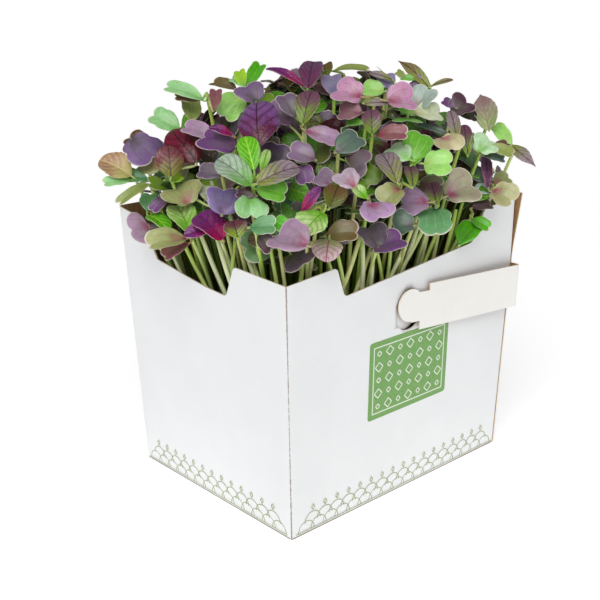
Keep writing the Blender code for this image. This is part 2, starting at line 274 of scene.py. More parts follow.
def seed_leaf(foot, tip, width, look, near=0, face=0.72, curl=34, fold=0.5):
    """A two-lobed seed leaf from its foot's pixel to its notch's, width in pixels.

    Near is how much nearer than its plant it stands, in mm; face 1 turns it to the camera and 0 to
    the sky; curl is in degrees, and fold is the slope of its halves.
    """
    return Leaf("seed", foot, tip, width, look, near, face, curl, fold, 0)


def true_leaf(foot, tip, width, look, near=1, face=0.72, curl=45, fold=0.28, point=0):
    """A veined true leaf from its foot's pixel to its tip's, as a seed leaf; point 1 is a sharp tip."""
    return Leaf("true", foot, tip, width, look, near, face, curl, fold, point)


# Plants that the camera sees best: hub pixel, leaves, and the number of a modelled seedling
FRONT_PLANTS = (
    Plant(seedling=1, hub=(139, 187), leaves=(
        true_leaf(foot=(131, 176), tip=(100, 160), width=26, look="orange"),
        seed_leaf(foot=(131, 180), tip=(106, 183), width=12, look="mint"),
        seed_leaf(foot=(150, 180), tip=(110, 176), width=18, look="teal", near=-3))),
    Plant(seedling=2, hub=(140, 150), leaves=(
        seed_leaf(foot=(131, 139), tip=(152, 157), width=40, look="plum", fold=0.3),
        seed_leaf(foot=(150, 150), tip=(130, 138), width=24, look="brown", near=-2),
        seed_leaf(foot=(162, 168), tip=(141, 166), width=22, look="olive_pink", near=-1))),
    Plant(seedling=3, hub=(192, 128), leaves=(
        seed_leaf(foot=(180, 131), tip=(154, 116), width=24, look="mint"),
        seed_leaf(foot=(193, 123), tip=(190, 101), width=20, look="olive"))),
    Plant(seedling=4, hub=(207, 95), leaves=(
        seed_leaf(foot=(204, 101), tip=(170, 87), width=15, look="mint"),
        seed_leaf(foot=(200, 100), tip=(177, 97), width=12, look="brown", near=-2),
        seed_leaf(foot=(214, 112), tip=(216, 90), width=14, look="maroon_seed", near=-2))),
    Plant(seedling=5, hub=(236, 92), leaves=(
        seed_leaf(foot=(237, 90), tip=(214, 83), width=15, look="olive_brown"),
        seed_leaf(foot=(243, 95), tip=(225, 116), width=28, look="pale_green"))),
    Plant(hub=(251, 92), leaves=(
        seed_leaf(foot=(246, 90), tip=(260, 66), width=15, look="bright", fold=0.8),
        seed_leaf(foot=(244, 88), tip=(239, 71), width=13, look="lime"),
        seed_leaf(foot=(249, 88), tip=(233, 79), width=12, look="mint"))),
    Plant(seedling=6, hub=(259, 148), leaves=(
        true_leaf(foot=(259, 146), tip=(258, 102), width=42,
                  look="big_violet", near=6, curl=75, fold=-0.6),)),
    Plant(seedling=7, hub=(253, 188), leaves=(
        true_leaf(foot=(254, 170), tip=(245, 137), width=22, look="bright"),
        true_leaf(foot=(251, 185), tip=(217, 160), width=27, look="pale_true", near=3),
        true_leaf(foot=(257, 184), tip=(299, 168), width=24, look="mauve_true", near=3),
        seed_leaf(foot=(256, 189), tip=(283, 193), width=24, look="green"),
        true_leaf(foot=(262, 170), tip=(268, 150), width=10, look="lime_true"))),
    Plant(hub=(250, 198), leaves=(
        seed_leaf(foot=(250, 199), tip=(251, 215), width=34, look="mint"),
        seed_leaf(foot=(256, 196), tip=(238, 193), width=10, look="dark_purple"))),
    Plant(seedling=8, hub=(222, 216), leaves=(
        seed_leaf(foot=(222, 214), tip=(223, 192), width=37, look="lilac", near=3),)),
    Plant(hub=(222, 242), leaves=(
        true_leaf(foot=(222, 240), tip=(196, 216), width=28, look="magenta", near=4, curl=70),
        true_leaf(foot=(210, 230), tip=(184, 236), width=14, look="magenta", near=3))),
    Plant(seedling=9, hub=(190, 235), leaves=(
        true_leaf(foot=(190, 233), tip=(175, 206), width=27, look="lime_true", near=3),
        seed_leaf(foot=(187, 239), tip=(152, 245), width=24, look="olive_pink", near=4, fold=0.9),
        seed_leaf(foot=(189, 244), tip=(165, 256), width=16, look="maroon_seed", near=3))),
    Plant(hub=(182, 196), leaves=(
        seed_leaf(foot=(188, 203), tip=(177, 188), width=42, look="olive_pink", near=2),
        seed_leaf(foot=(212, 205), tip=(204, 184), width=18, look="white_leaf"))),
    Plant(seedling=10, hub=(150, 231), leaves=(
        seed_leaf(foot=(149, 229), tip=(132, 231), width=38, look="mauve", near=4),
        seed_leaf(foot=(148, 226), tip=(165, 236), width=16, look="dark_purple", near=2))),
    Plant(hub=(155, 212), leaves=(
        true_leaf(foot=(148, 216), tip=(168, 231), width=17, look="bright"),
        seed_leaf(foot=(147, 211), tip=(150, 194), width=18, look="teal"))),
    Plant(hub=(152, 190), leaves=(
        seed_leaf(foot=(167, 197), tip=(153, 210), width=13, look="violet"),
        seed_leaf(foot=(151, 184), tip=(121, 201), width=11, look="olive"))),
    Plant(seedling=11, hub=(171, 178), leaves=(
        true_leaf(foot=(197, 162), tip=(171, 131), width=34,
                  look="big_maroon", near=1, curl=60, fold=-0.5),
        true_leaf(foot=(171, 177), tip=(168, 146), width=28,
                  look="brown_true", near=5, curl=50, fold=-0.3),
        seed_leaf(foot=(174, 182), tip=(181, 176), width=9, look="lime"))),
    Plant(seedling=12, hub=(234, 146), leaves=(
        seed_leaf(foot=(235, 147), tip=(205, 139), width=32, look="violet", near=2),
        seed_leaf(foot=(215, 140), tip=(186, 127), width=18, look="mauve", near=-1),
        true_leaf(foot=(232, 136), tip=(209, 128), width=9, look="magenta", near=3))),
    Plant(hub=(222, 176), leaves=(
        seed_leaf(foot=(222, 176), tip=(200, 172), width=18, look="grey_purple"),)),
    Plant(seedling=36, hub=(374, 103), leaves=(
        seed_leaf(foot=(361, 97), tip=(338, 91), width=33, look="pink", near=2),
        seed_leaf(foot=(388, 101), tip=(411, 98), width=32, look="pink", near=2),
        true_leaf(foot=(364, 104), tip=(388, 103), width=8, look="mauve_true"))),
    Plant(hub=(366, 116), leaves=(
        seed_leaf(foot=(363, 113), tip=(341, 112), width=20, look="dark_pink", near=-1),
        seed_leaf(foot=(364, 124), tip=(347, 124), width=12, look="green", near=-3))),
    Plant(hub=(334, 97), leaves=(
        seed_leaf(foot=(333, 97), tip=(331, 77), width=22, look="blue_violet", near=-2),)),
    Plant(hub=(385, 93), leaves=(
        seed_leaf(foot=(384, 92), tip=(365, 88), width=20, look="pale_green", near=-1),)),
    Plant(seedling=37, hub=(388, 90), leaves=(
        seed_leaf(foot=(388, 88), tip=(384, 76), width=20, look="blue_violet"),
        true_leaf(foot=(392, 80), tip=(369, 73), width=7, look="mauve_true"))),
    Plant(seedling=39, hub=(345, 78), leaves=(
        seed_leaf(foot=(333, 71), tip=(365, 69), width=10, look="olive"),)),
    Plant(seedling=38, hub=(423, 80), leaves=(
        true_leaf(foot=(429, 88), tip=(398, 61), width=13, look="olive_true", point=1),
        seed_leaf(foot=(428, 90), tip=(413, 81), width=20, look="grey_mauve"),
        seed_leaf(foot=(406, 79), tip=(397, 72), width=8, look="olive"),
        seed_leaf(foot=(416, 80), tip=(401, 78), width=7, look="green"))),
    Plant(hub=(430, 88), leaves=(
        true_leaf(foot=(432, 86), tip=(453, 80), width=5, look="olive_true"),)),
    Plant(seedling=30, hub=(413, 112), leaves=(
        seed_leaf(foot=(417, 108), tip=(429, 90), width=26, look="grey_mint", near=6),
        seed_leaf(foot=(413, 113), tip=(439, 113), width=23, look="white_leaf", near=8))),
    Plant(seedling=29, hub=(452, 112), leaves=(
        seed_leaf(foot=(453, 112), tip=(467, 102), width=28, look="dark_purple", near=2),
        seed_leaf(foot=(455, 108), tip=(444, 101), width=10, look="violet", near=3),
        seed_leaf(foot=(458, 114), tip=(476, 117), width=12, look="black"))),
    Plant(hub=(486, 128), leaves=(
        true_leaf(foot=(489, 130), tip=(480, 94), width=24, look="rose_olive", fold=0.5, point=0.95),)),
    Plant(seedling=28, hub=(514, 151), leaves=(
        seed_leaf(foot=(511, 150), tip=(496, 125), width=16, look="pale_green"),
        true_leaf(foot=(511, 147), tip=(536, 167), width=13, look="mauve_true", point=1))),
    Plant(seedling=25, hub=(460, 146), leaves=(
        true_leaf(foot=(457, 141), tip=(450, 111), width=13, look="mauve_true", near=3),
        true_leaf(foot=(468, 155), tip=(464, 125), width=14, look="purple_green", near=3))),
    Plant(hub=(480, 153), leaves=(
        seed_leaf(foot=(479, 151), tip=(489, 141), width=28, look="mint_white", near=2),
        seed_leaf(foot=(477, 150), tip=(469, 137), width=16, look="teal", near=1),
        seed_leaf(foot=(487, 147), tip=(511, 153), width=12, look="olive", near=1),
        seed_leaf(foot=(484, 156), tip=(503, 158), width=14, look="dark_teal", near=-1),
        seed_leaf(foot=(492, 150), tip=(507, 143), width=9, look="brown"),
        seed_leaf(foot=(453, 137), tip=(418, 124), width=7, look="dark_teal"))),
    Plant(seedling=24, hub=(446, 145), leaves=(
        seed_leaf(foot=(443, 138), tip=(451, 149), width=34, look="cream_pink"),)),
    Plant(seedling=22, hub=(414, 165), leaves=(
        # These two leaves are the two lobes of one seed leaf; the left one's mint-white look is painted
        # sheen over its green
        seed_leaf(foot=(410, 160), tip=(391, 148), width=25, look="mint_white", near=6, fold=0.2),
        seed_leaf(foot=(411, 161), tip=(421, 136), width=30, look="green", near=4, fold=0.2),
        seed_leaf(foot=(424, 164), tip=(448, 164), width=30, look="pale_green", near=5),
        true_leaf(foot=(412, 165), tip=(419, 157), width=10, look="bright", near=5))),
    Plant(seedling=32, hub=(372, 137), leaves=(
        true_leaf(foot=(372, 134), tip=(371, 110), width=20, look="purple_green", near=2),
        seed_leaf(foot=(376, 136), tip=(406, 133), width=18, look="maroon_seed"))),
    Plant(seedling=20, hub=(398, 186), leaves=(
        true_leaf(foot=(397, 183), tip=(381, 154), width=24, look="mauve_true", near=3),
        true_leaf(foot=(413, 187), tip=(409, 166), width=14, look="purple_green", near=3),
        seed_leaf(foot=(400, 189), tip=(384, 201), width=26, look="olive_pink"))),
    Plant(hub=(356, 189), leaves=(
        seed_leaf(foot=(355, 187), tip=(342, 174), width=26, look="white_mauve", near=3),
        true_leaf(foot=(366, 198), tip=(352, 186), width=12, look="lime_true", near=3),
        seed_leaf(foot=(332, 185), tip=(318, 176), width=22, look="grey_mauve", near=-1))),
    Plant(seedling=18, hub=(368, 203), leaves=(
        seed_leaf(foot=(371, 204), tip=(379, 218), width=36, look="orchid", near=5),)),
    Plant(seedling=23, hub=(436, 207), leaves=(
        seed_leaf(foot=(427, 203), tip=(405, 204), width=32, look="orchid", near=5),
        true_leaf(foot=(437, 205), tip=(431, 183), width=18, look="purple_green", near=4),
        seed_leaf(foot=(448, 196), tip=(472, 187), width=38, look="green_mauve", near=4))),
    Plant(hub=(434, 209), leaves=(
        seed_leaf(foot=(434, 209), tip=(436, 231), width=34, look="teal", near=3),)),
    Plant(seedling=21, hub=(412, 228), leaves=(
        seed_leaf(foot=(413, 226), tip=(394, 226), width=28, look="dark_teal", near=3),)),
    Plant(seedling=19, hub=(376, 250), leaves=(
        seed_leaf(foot=(378, 247), tip=(369, 228), width=32, look="grey_purple", near=4),
        seed_leaf(foot=(374, 252), tip=(401, 239), width=22, look="violet", near=4))),
    Plant(seedling=26, hub=(459, 245), leaves=(
        seed_leaf(foot=(459, 245), tip=(474, 226), width=22, look="bright", near=2),)),
    Plant(hub=(472, 216), leaves=(
        seed_leaf(foot=(472, 219), tip=(488, 227), width=14, look="bright", near=2),
        seed_leaf(foot=(472, 208), tip=(490, 206), width=14, look="dark_purple"))),
    Plant(seedling=27, hub=(492, 195), leaves=(
        true_leaf(foot=(488, 188), tip=(485, 154), width=11, look="purple", near=4),
        seed_leaf(foot=(493, 191), tip=(511, 200), width=30, look="pale_mauve", near=4),
        seed_leaf(foot=(489, 182), tip=(472, 172), width=16, look="dark_teal", near=-1),
        seed_leaf(foot=(493, 184), tip=(508, 178), width=16, look="olive_pink", near=-2),
        seed_leaf(foot=(492, 192), tip=(477, 190), width=12, look="grey_mint"))),
    Plant(seedling=15, hub=(307, 247), leaves=(
        seed_leaf(foot=(307, 246), tip=(280, 236), width=40, look="mauve", near=8),)),
    Plant(seedling=16, hub=(322, 210), leaves=(
        true_leaf(foot=(323, 213), tip=(303, 236), width=30, look="lime_true", near=5),
        true_leaf(foot=(303, 212), tip=(320, 187), width=12, look="magenta", near=4),
        true_leaf(foot=(330, 208), tip=(338, 186), width=24, look="dark_olive", near=2))),
    Plant(seedling=17, hub=(330, 240), leaves=(
        true_leaf(foot=(329, 240), tip=(326, 262), width=30, look="striped", near=5),
        seed_leaf(foot=(326, 236), tip=(356, 232), width=24, look="olive_brown", near=2))),
    Plant(seedling=13, hub=(238, 240), leaves=(
        true_leaf(foot=(238, 238), tip=(233, 221), width=24, look="dusky", near=3),)),
    Plant(seedling=14, hub=(256, 232), leaves=(
        seed_leaf(foot=(250, 228), tip=(274, 226), width=20, look="teal", near=2),
        seed_leaf(foot=(258, 235), tip=(271, 249), width=18, look="dark_purple", near=1),
        seed_leaf(foot=(290, 230), tip=(276, 222), width=18, look="bright"))),
    Plant(seedling=35, hub=(305, 126), leaves=(
        true_leaf(foot=(303, 124), tip=(312, 91), width=24, look="purple_green", near=3),
        seed_leaf(foot=(296, 118), tip=(284, 97), width=22, look="grey_purple", near=1),
        seed_leaf(foot=(305, 131), tip=(335, 140), width=20, look="mauve", near=3),
        true_leaf(foot=(302, 158), tip=(304, 144), width=14, look="magenta", near=2))),
    Plant(seedling=40, hub=(307, 90), leaves=(
        true_leaf(foot=(308, 89), tip=(314, 62), width=24, look="purple", near=2),
        true_leaf(foot=(304, 87), tip=(266, 69), width=9, look="magenta"))),
    Plant(seedling=33, hub=(338, 152), leaves=(
        seed_leaf(foot=(336, 153), tip=(357, 138), width=26, look="dark_teal", near=1),)),
    Plant(seedling=34, hub=(305, 163), leaves=(
        seed_leaf(foot=(315, 160), tip=(291, 151), width=24, look="grey_mauve", near=1),
        seed_leaf(foot=(302, 165), tip=(306, 181), width=20, look="violet", near=1),
        seed_leaf(foot=(290, 126), tip=(268, 106), width=36, look="grey_mauve", near=-16))),
)

# Bare stems that show in the two cut-outs: upper and lower pixel of each
LEFT_STEMS = (
    Stem(top=(173, 258), foot=(180, 274)), Stem(top=(188, 254), foot=(203, 284)),
    Stem(top=(199, 232), foot=(223, 292)), Stem(top=(217, 240), foot=(230, 289)),
    Stem(top=(233, 256), foot=(231, 270)), Stem(top=(238, 237), foot=(254, 272)),
    Stem(top=(244, 240), foot=(258, 274)), Stem(top=(257, 246), foot=(262, 278)),
    Stem(top=(271, 252), foot=(277, 283)), Stem(top=(281, 258), foot=(286, 285)),
)
RIGHT_STEMS = (
    Stem(top=(304, 250), foot=(301, 278)), Stem(top=(313, 252), foot=(310, 276)),
    Stem(top=(328, 260), foot=(333, 272)), Stem(top=(338, 256), foot=(347, 286)),
    Stem(top=(358, 246), foot=(345, 287)), Stem(top=(363, 247), foot=(365, 287)),
    Stem(top=(371, 250), foot=(357, 290)), Stem(top=(373, 254), foot=(374, 284)),
    Stem(top=(378, 255), foot=(385, 279)), Stem(top=(391, 252), foot=(389, 279)),
    Stem(top=(410, 236), foot=(393, 275)), Stem(top=(417, 231), foot=(403, 272)),
    Stem(top=(424, 229), foot=(409, 256)), Stem(top=(429, 230), foot=(421, 266)),
    Stem(top=(436, 236), foot=(424, 264)), Stem(top=(438, 238), foot=(434, 259)),
    Stem(top=(453, 227), foot=(446, 255)), Stem(top=(458, 241), foot=(453, 250)),
)


def linear(hex_text):
    """An sRGB hex colour as linear red, green, blue and alpha."""
    values = [int(hex_text[i:i + 2], 16) / 255 for i in (1, 3, 5)]
    return tuple(v / 12.92 if v <= 0.04045 else ((v + 0.055) / 1.055) ** 2.4 for v in values) + (1.0,)


def colour_property(name, description, hex_text):
    """A colour that the user can change, from its sRGB hex value."""
    return FloatVectorProperty(name=name, description=description, default=linear(hex_text)[:3],
                               subtype="COLOR", min=0, max=1)


class CartonSettings(bpy.types.PropertyGroup):
    board: FloatProperty(name="Board", description="Thickness of the folded board", default=0.0006,
                         min=0.0002, unit="LENGTH")
    bow: FloatProperty(name="Bow", description="How far a wall bulges between its corners", default=0.0004,
                       unit="LENGTH")
    line: FloatProperty(name="Printed line", description="Width of the border's printed line",
                        default=0.00030, unit="LENGTH")
    white: colour_property("White", "Coated outside of the board", "#F1F2F3")
    kraft: colour_property("Kraft", "Bare inside of the board", "#B08457")
    ink: colour_property("Ink", "Green panel", "#6CA24A")
    border: colour_property("Border ink", "Olive border line", "#95A468")


class PlantSettings(bpy.types.PropertyGroup):
    stem: FloatProperty(name="Stem", description="Diameter of a stem at its foot", default=0.0018,
                        unit="LENGTH")
    blade: FloatProperty(name="Blade", description="Thickness of a leaf", default=0.00035,
                         unit="LENGTH")
    spacing: FloatProperty(name="Spacing", description="Distance between inner plants", default=0.0068,
                           unit="LENGTH")
    seed: IntProperty(name="Seed", description="Picks the inner plants' places and turns", default=7)


class StageSettings(bpy.types.PropertyGroup):
    floor: FloatProperty(name="Floor", description="Side of the floor", default=6.0, unit="LENGTH")
    world: FloatProperty(name="Surround", description="Brightness of the surround", default=0.16, min=0)
    key: FloatProperty(name="Key light", description="Strength of the high light", default=1.45, min=0)
    fill: FloatProperty(name="Fill light", description="Strength of the low front light", default=0.72,
                        min=0)


def settings():
    """The scene's carton settings and plant settings."""
    return bpy.context.scene.microgreens_carton, bpy.context.scene.microgreens_plants


# Camera geometry

def camera_axes():
    """Forward, right and up of the picture, from yaw, downward pitch and roll."""
    flat = np.array((math.sin(CAMERA_YAW), math.cos(CAMERA_YAW), 0))
    forward = flat * math.cos(CAMERA_DOWN) - np.array((0, 0, math.sin(CAMERA_DOWN)))
    level = np.array((math.cos(CAMERA_YAW), -math.sin(CAMERA_YAW), 0))
    rise = np.cross(level, forward)
    right = math.cos(CAMERA_ROLL) * level + math.sin(CAMERA_ROLL) * rise
    up = -math.sin(CAMERA_ROLL) * level + math.cos(CAMERA_ROLL) * rise
    return forward, right, up


FORWARD, RIGHT, UP = camera_axes()


def sight(pixel):
    """Direction of the line of sight through a pixel, one long along the camera's forward axis."""
    half = PICTURE / 2
    return FORWARD + RIGHT * ((pixel[0] - half) / FOCAL) + UP * ((half - pixel[1]) / FOCAL)


def on_plane(pixel, point, normal):
    """Where the line of sight through a pixel meets the plane through a point."""
    ray = sight(pixel)
    reach = np.dot(np.asarray(point) - CAMERA_PLACE, normal) / np.dot(ray, normal)
    return CAMERA_PLACE + ray * reach


def distance_away(x, y):
    """How far a place lies behind the frame's origin, as the camera looks."""
    return AWAY[0] * x + AWAY[1] * y


def canopy_height(x, y):
    """Height of the plants' dome, which falls with the distance from its middle."""
    aside = AWAY[1] * x - AWAY[0] * y
    spread = ((distance_away(x, y) - CANOPY_BACK) / CANOPY_DEPTH) ** 2 + (aside / CANOPY_WIDTH) ** 2
    return CANOPY_TOP - CANOPY_FALL * spread ** 0.9


def on_canopy(pixel):
    """First point of the line of sight under the canopy's dome, or its nearest point to the dome."""
    nearest, farthest, step = 300, 620, 0.5
    points = CAMERA_PLACE + sight(pixel) * np.arange(nearest, farthest, step)[:, None]
    over = (np.abs(points[:, 0]) < BASE_X / 2 + 2) & (np.abs(points[:, 1]) < BASE_Y / 2 + 3)
    far_off = 1000
    above = points[:, 2] - canopy_height(points[:, 0], points[:, 1]) + np.where(over, 0, far_off)
    return points[np.argmax(above < 0) if (above < 0).any() else np.argmin(above)]


# Meshes from arrays

def unit(vectors):
    """Vectors scaled to length one."""
    vectors = np.asarray(vectors, float)
    return vectors / np.maximum(np.linalg.norm(vectors, axis=-1, keepdims=True), 1e-9)


def grid_quads(rows, columns):
    """Faces of a grid whose normal is the row direction crossed with the column direction."""
    index = np.arange(rows * columns).reshape(rows, columns)
    return np.stack([index[:-1, :-1], index[1:, :-1], index[1:, 1:], index[:-1, 1:]], -1).reshape(-1, 4)


class Shape:
    """Points, faces, material numbers and point values of the surfaces that make up one piece."""

    def __init__(self):
        self.points, self.quads, self.kinds, self.values = [], [], [], []
        self.count = 0

    def add(self, points, quads, kinds=0, values=None):
        """Adds a surface: its points, faces, material numbers and values by name."""
        points = np.reshape(points, (-1, 3))
        self.points.append(points)
        self.quads.append(quads + self.count)
        self.kinds.append(np.broadcast_to(kinds, len(quads)))
        self.values.append(values or {})
        self.count += len(points)

    def build(self, name, materials, sharp_degrees=None):
        """The mesh object: near points are made one, and a quad with two equal corners a triangle."""
        points = np.concatenate(self.points)
        quads = np.concatenate(self.quads)
        kinds = np.concatenate(self.kinds)
        keys = np.round(points / WELD).astype(np.int64) @ np.array((1, 2 ** 21, 2 ** 42))
        _, first, where = np.unique(keys, return_index=True, return_inverse=True)
        quads = where.reshape(-1)[quads]
        equal = quads == np.roll(quads, -1, axis=1)
        crossed = (quads[:, 0] == quads[:, 2]) | (quads[:, 1] == quads[:, 3])
        whole = (equal.sum(1) == 0) & ~crossed
        three = (equal.sum(1) == 1) & ~crossed
        triangles = quads[three][~equal[three]].reshape(-1, 3)
        mesh = bpy.data.meshes.new(name)
        mesh.from_pydata(points[first] * MM, [], quads[whole].tolist() + triangles.tolist())
        numbers = np.concatenate([kinds[whole], kinds[three]]).astype(np.int32)
        mesh.polygons.foreach_set("material_index", numbers)
        for key in self.values[0]:
            data = np.concatenate([v[key] for v in self.values])[first].astype(np.float32)
            colour = data.ndim > 1
            attribute = mesh.attributes.new(key, "FLOAT_COLOR" if colour else "FLOAT", "POINT")
            attribute.data.foreach_set("color" if colour else "value", data.ravel())
        mesh.shade_smooth()
        if sharp_degrees:
            mesh.set_sharp_from_angle(angle=math.radians(sharp_degrees))
        for material in materials:
            mesh.materials.append(material)
        obj = bpy.data.objects.new(name, mesh)
        bpy.context.scene.collection.objects.link(obj)
        return obj


def level_grid(half_width, half_depth, columns, rows):
    """Points of a level rectangle about the origin, at height 0."""
    across = np.linspace(-half_width, half_width, columns)
    along = np.linspace(-half_depth, half_depth, rows)
    x, y = np.meshgrid(across, along, indexing="ij")
    return np.stack([x, y, np.zeros_like(x)], -1)


def cubic(start, start_pull, end_pull, end, count):
    """Points of the cubic curve between two ends that its two inner points pull towards them."""
    share = np.linspace(0, 1, count)[:, None]
    weights = ((1 - share) ** 3, 3 * share * (1 - share) ** 2, 3 * share ** 2 * (1 - share), share ** 3)
    return sum(weight * point for weight, point in zip(weights, (start, start_pull, end_pull, end)))


def grid_normals(points):
    """Unit normals of a grid of points: row direction crossed with column direction."""
    normals = np.cross(np.gradient(points, axis=0), np.gradient(points, axis=1))
    length = np.linalg.norm(normals, axis=-1, keepdims=True)
    return np.where(length > 1e-7, normals / np.maximum(length, 1e-9), unit(normals.sum((0, 1))))


def add_sheet(shape, outer, inner, kinds=(0, 1, 2), values=None):
    """A closed sheet from its outer and inner grids: front, back, and the cut edges all round."""
    rows, columns = outer.shape[:2]
    front = grid_quads(rows, columns)
    index = np.arange(rows * columns).reshape(rows, columns)
    ring = np.concatenate([index[0, :-1], index[:-1, -1], index[-1, :0:-1], index[:0:-1, 0]])
    after = np.roll(ring, -1)
    rim = np.stack([ring, after, after + rows * columns, ring + rows * columns], -1)
    back = front[:, ::-1] + rows * columns
    both = {key: np.tile(value.ravel(), 2) for key, value in (values or {}).items()}
    shape.add(np.concatenate([outer.reshape(-1, 3), inner.reshape(-1, 3)]),
              np.concatenate([front, back, rim]), np.repeat(kinds, (len(front), len(back), len(rim))), both)


def add_tube(shape, path, radii, sides, kind=0, values=None):
    """A round tube carried along a path; each end is drawn in to a point, which closes it."""
    path = np.asarray(path, float)
    along = unit(np.gradient(path, axis=0))
    askew = (0.31, 0.17, 0.05)
    side = unit(np.cross(along, askew))
    turn = np.linspace(0, 2 * math.pi, sides + 1)
    turn[-1] = 0
    ring = side[:, None] * np.cos(turn)[:, None] + np.cross(along, side)[:, None] * np.sin(turn)[:, None]
    points = path[:, None] + ring * np.broadcast_to(radii, len(path))[:, None, None]
    ends = np.repeat(path[[0, -1]][:, None], sides + 1, axis=1)
    points = np.concatenate([ends[:1], points, ends[1:]])
    spread = {}
    for key, value in (values or {}).items():
        value = np.concatenate([value[:1], value, value[-1:]])
        spread[key] = np.repeat(value, sides + 1, axis=0)
    shape.add(points, grid_quads(len(path) + 2, sides + 1)[:, ::-1], kind, spread)


# Materials

def add(tree, kind, inputs, out=0, **options):
    """Adds a shader node: inputs gives sockets a value or a link, options set the node up."""
    node = tree.nodes.new("ShaderNode" + kind)
    for key, value in options.items():
        setattr(node, key, value)
    for socket, value in inputs.items():
        if isinstance(value, bpy.types.NodeSocket):
            tree.links.new(value, node.inputs[socket])
        else:
            node.inputs[socket].default_value = value
    return node.outputs[out]


# Sockets of a colour mix: how far it goes, from which colour, and to which
SHARE, FROM, TO = 0, 6, 7
COLOUR_MIX = {"out": 2, "data_type": "RGBA"}
MULTIPLY_MIX = {**COLOUR_MIX, "blend_type": "MULTIPLY"}
# Light that soaks into a leaf and into a stem, reddish or greenish
LEAF_GLOW = {"Subsurface Weight": 0.1, "Subsurface Scale": 0.001, "Subsurface Radius": (0.7, 1.0, 0.4)}
STEM_GLOW = {"Subsurface Weight": 0.3, "Subsurface Scale": 0.001, "Subsurface Radius": (0.6, 1.0, 0.25)}


def new_finish(name, roughness, sockets=None):
    """A material and its shader, with values that are the same all over set on the shader itself."""
    material = bpy.data.materials.new(name)
    material.use_nodes = True
    shader = material.node_tree.nodes["Principled BSDF"]
    shader.inputs["Roughness"].default_value = roughness
    for key, value in (sockets or {}).items():
        shader.inputs[key].default_value = value
    return material, material.node_tree, shader


def finish_with(tree, shader, colour, height, depth_mm, strength=1.0):
    """Gives the shader its colour pattern and a bump of the given depth."""
    normal = add(tree, "Bump", {"Height": height, "Distance": depth_mm * MM, "Strength": strength})
    tree.links.new(colour, shader.inputs["Base Color"])
    tree.links.new(normal, shader.inputs["Normal"])


def mottled(tree, size_mm, low, high, stretch=(1, 1, 1), detail=4):
    """Lumps about size_mm across, 0 in the hollows and 1 on the crests."""
    place = add(tree, "TexCoord", {}, out="Object")
    place = add(tree, "Mapping", {"Vector": place, "Scale": stretch})
    lumps = add(tree, "TexNoise", {"Vector": place, "Scale": 1 / (size_mm * MM), "Detail": detail,
                                   "Roughness": 0.6})
    return add(tree, "MapRange", {"Value": lumps, "From Min": low, "From Max": high},
               interpolation_type="SMOOTHSTEP")


def two_tone(name, roughness, dark, pale, pattern, depth_mm, strength=1.0, sockets=None):
    """A finish that goes from one shade to another with a single pattern, which is its bump as well."""
    material, tree, shader = new_finish(name, roughness, sockets)
    lumps = mottled(tree, **pattern)
    colour = add(tree, "Mix", {SHARE: lumps, FROM: dark, TO: pale}, **COLOUR_MIX)
    finish_with(tree, shader, colour, lumps, depth_mm, strength)
    return material


def shade_of(colour, factor):
    """A linear colour made darker by a factor."""
    return tuple(c * factor for c in tuple(colour)[:3]) + (1,)


def coated_board(name, white):
    """Clay-coated board: an even white with a faint calendered tooth, cracked brown along its creases; the
    same brown along the walls' foot is a painted contact shadow.
    """
    material, tree, shader = new_finish(name, 0.42)
    cloudy = mottled(tree, 24, 0.25, 0.75)
    dull, clear = shade_of(white, 0.965), shade_of(white, 1)
    white = add(tree, "Mix", {SHARE: cloudy, FROM: dull, TO: clear}, **COLOUR_MIX)
    ragged = add(tree, "Math", {0: mottled(tree, 1.2, 0.2, 0.8), 1: 0.2, 2: -0.1}, operation="MULTIPLY_ADD")
    # Cracks of the coat along the folds, and at the walls' foot a painted contact shadow line in the same
    # brown
    crease = add(tree, "Attribute", {}, out="Fac", attribute_name="crease")
    worn = add(tree, "Math", {0: crease, 1: ragged}, operation="ADD")
    crack_and_foot_shadow = add(tree, "MapRange", {"Value": worn, "From Min": 0.52, "From Max": 0.80, "To Max": 0.9})
    colour = add(tree, "Mix", {SHARE: crack_and_foot_shadow, FROM: white, TO: linear("#85776E")}, **COLOUR_MIX)
    rough = add(tree, "Math", {0: mottled(tree, 3, 0.3, 0.7), 1: 0.08, 2: 0.40}, operation="MULTIPLY_ADD")
    tree.links.new(rough, shader.inputs["Roughness"])
    finish_with(tree, shader, colour, mottled(tree, 0.5, 0.3, 0.7), 0.02, 0.5)
    return material


def kraft_board():
    """Unbleached kraft inside of the board: warm brown with darker fibres."""
    kraft = settings()[0].kraft
    return two_tone("kraft_board", 0.82, shade_of(kraft, 0.72), shade_of(kraft, 1),
                    {"size_mm": 0.8, "low": 0.35, "high": 0.7, "stretch": (1, 1, 0.25), "detail": 5},
                    depth_mm=0.04, strength=0.6)


def cut_edge():
    """Knife-cut edge of the board: cream pulp between the white coat and the kraft back."""
    return two_tone("cut_board_edge", 0.8, linear("#E6CFB0"), linear("#F9EEDF"),
                    {"size_mm": 0.7, "low": 0.2, "high": 0.8}, depth_mm=0.05)


def printed_ink(name, ink):
    """Matt offset ink on the coat: nearly even, thinned in tiny specks by the board's tooth."""
    pale = tuple(c + (0.85 - c) * 0.10 for c in ink) + (1,)
    return two_tone(name, 0.46, pale, shade_of(ink, 1), {"size_mm": 0.6, "low": 0.3, "high": 0.62},
                    depth_mm=0.01, strength=0.5)


def pressed_fibre():
    """Moulded pulp tray: grey-brown and mottled, with a coarse felted skin."""
    return two_tone("pressed_pulp", 0.9, linear("#6E5B47"), linear("#93806A"),
                    {"size_mm": 2.5, "low": 0.3, "high": 0.7, "detail": 5}, depth_mm=0.3)


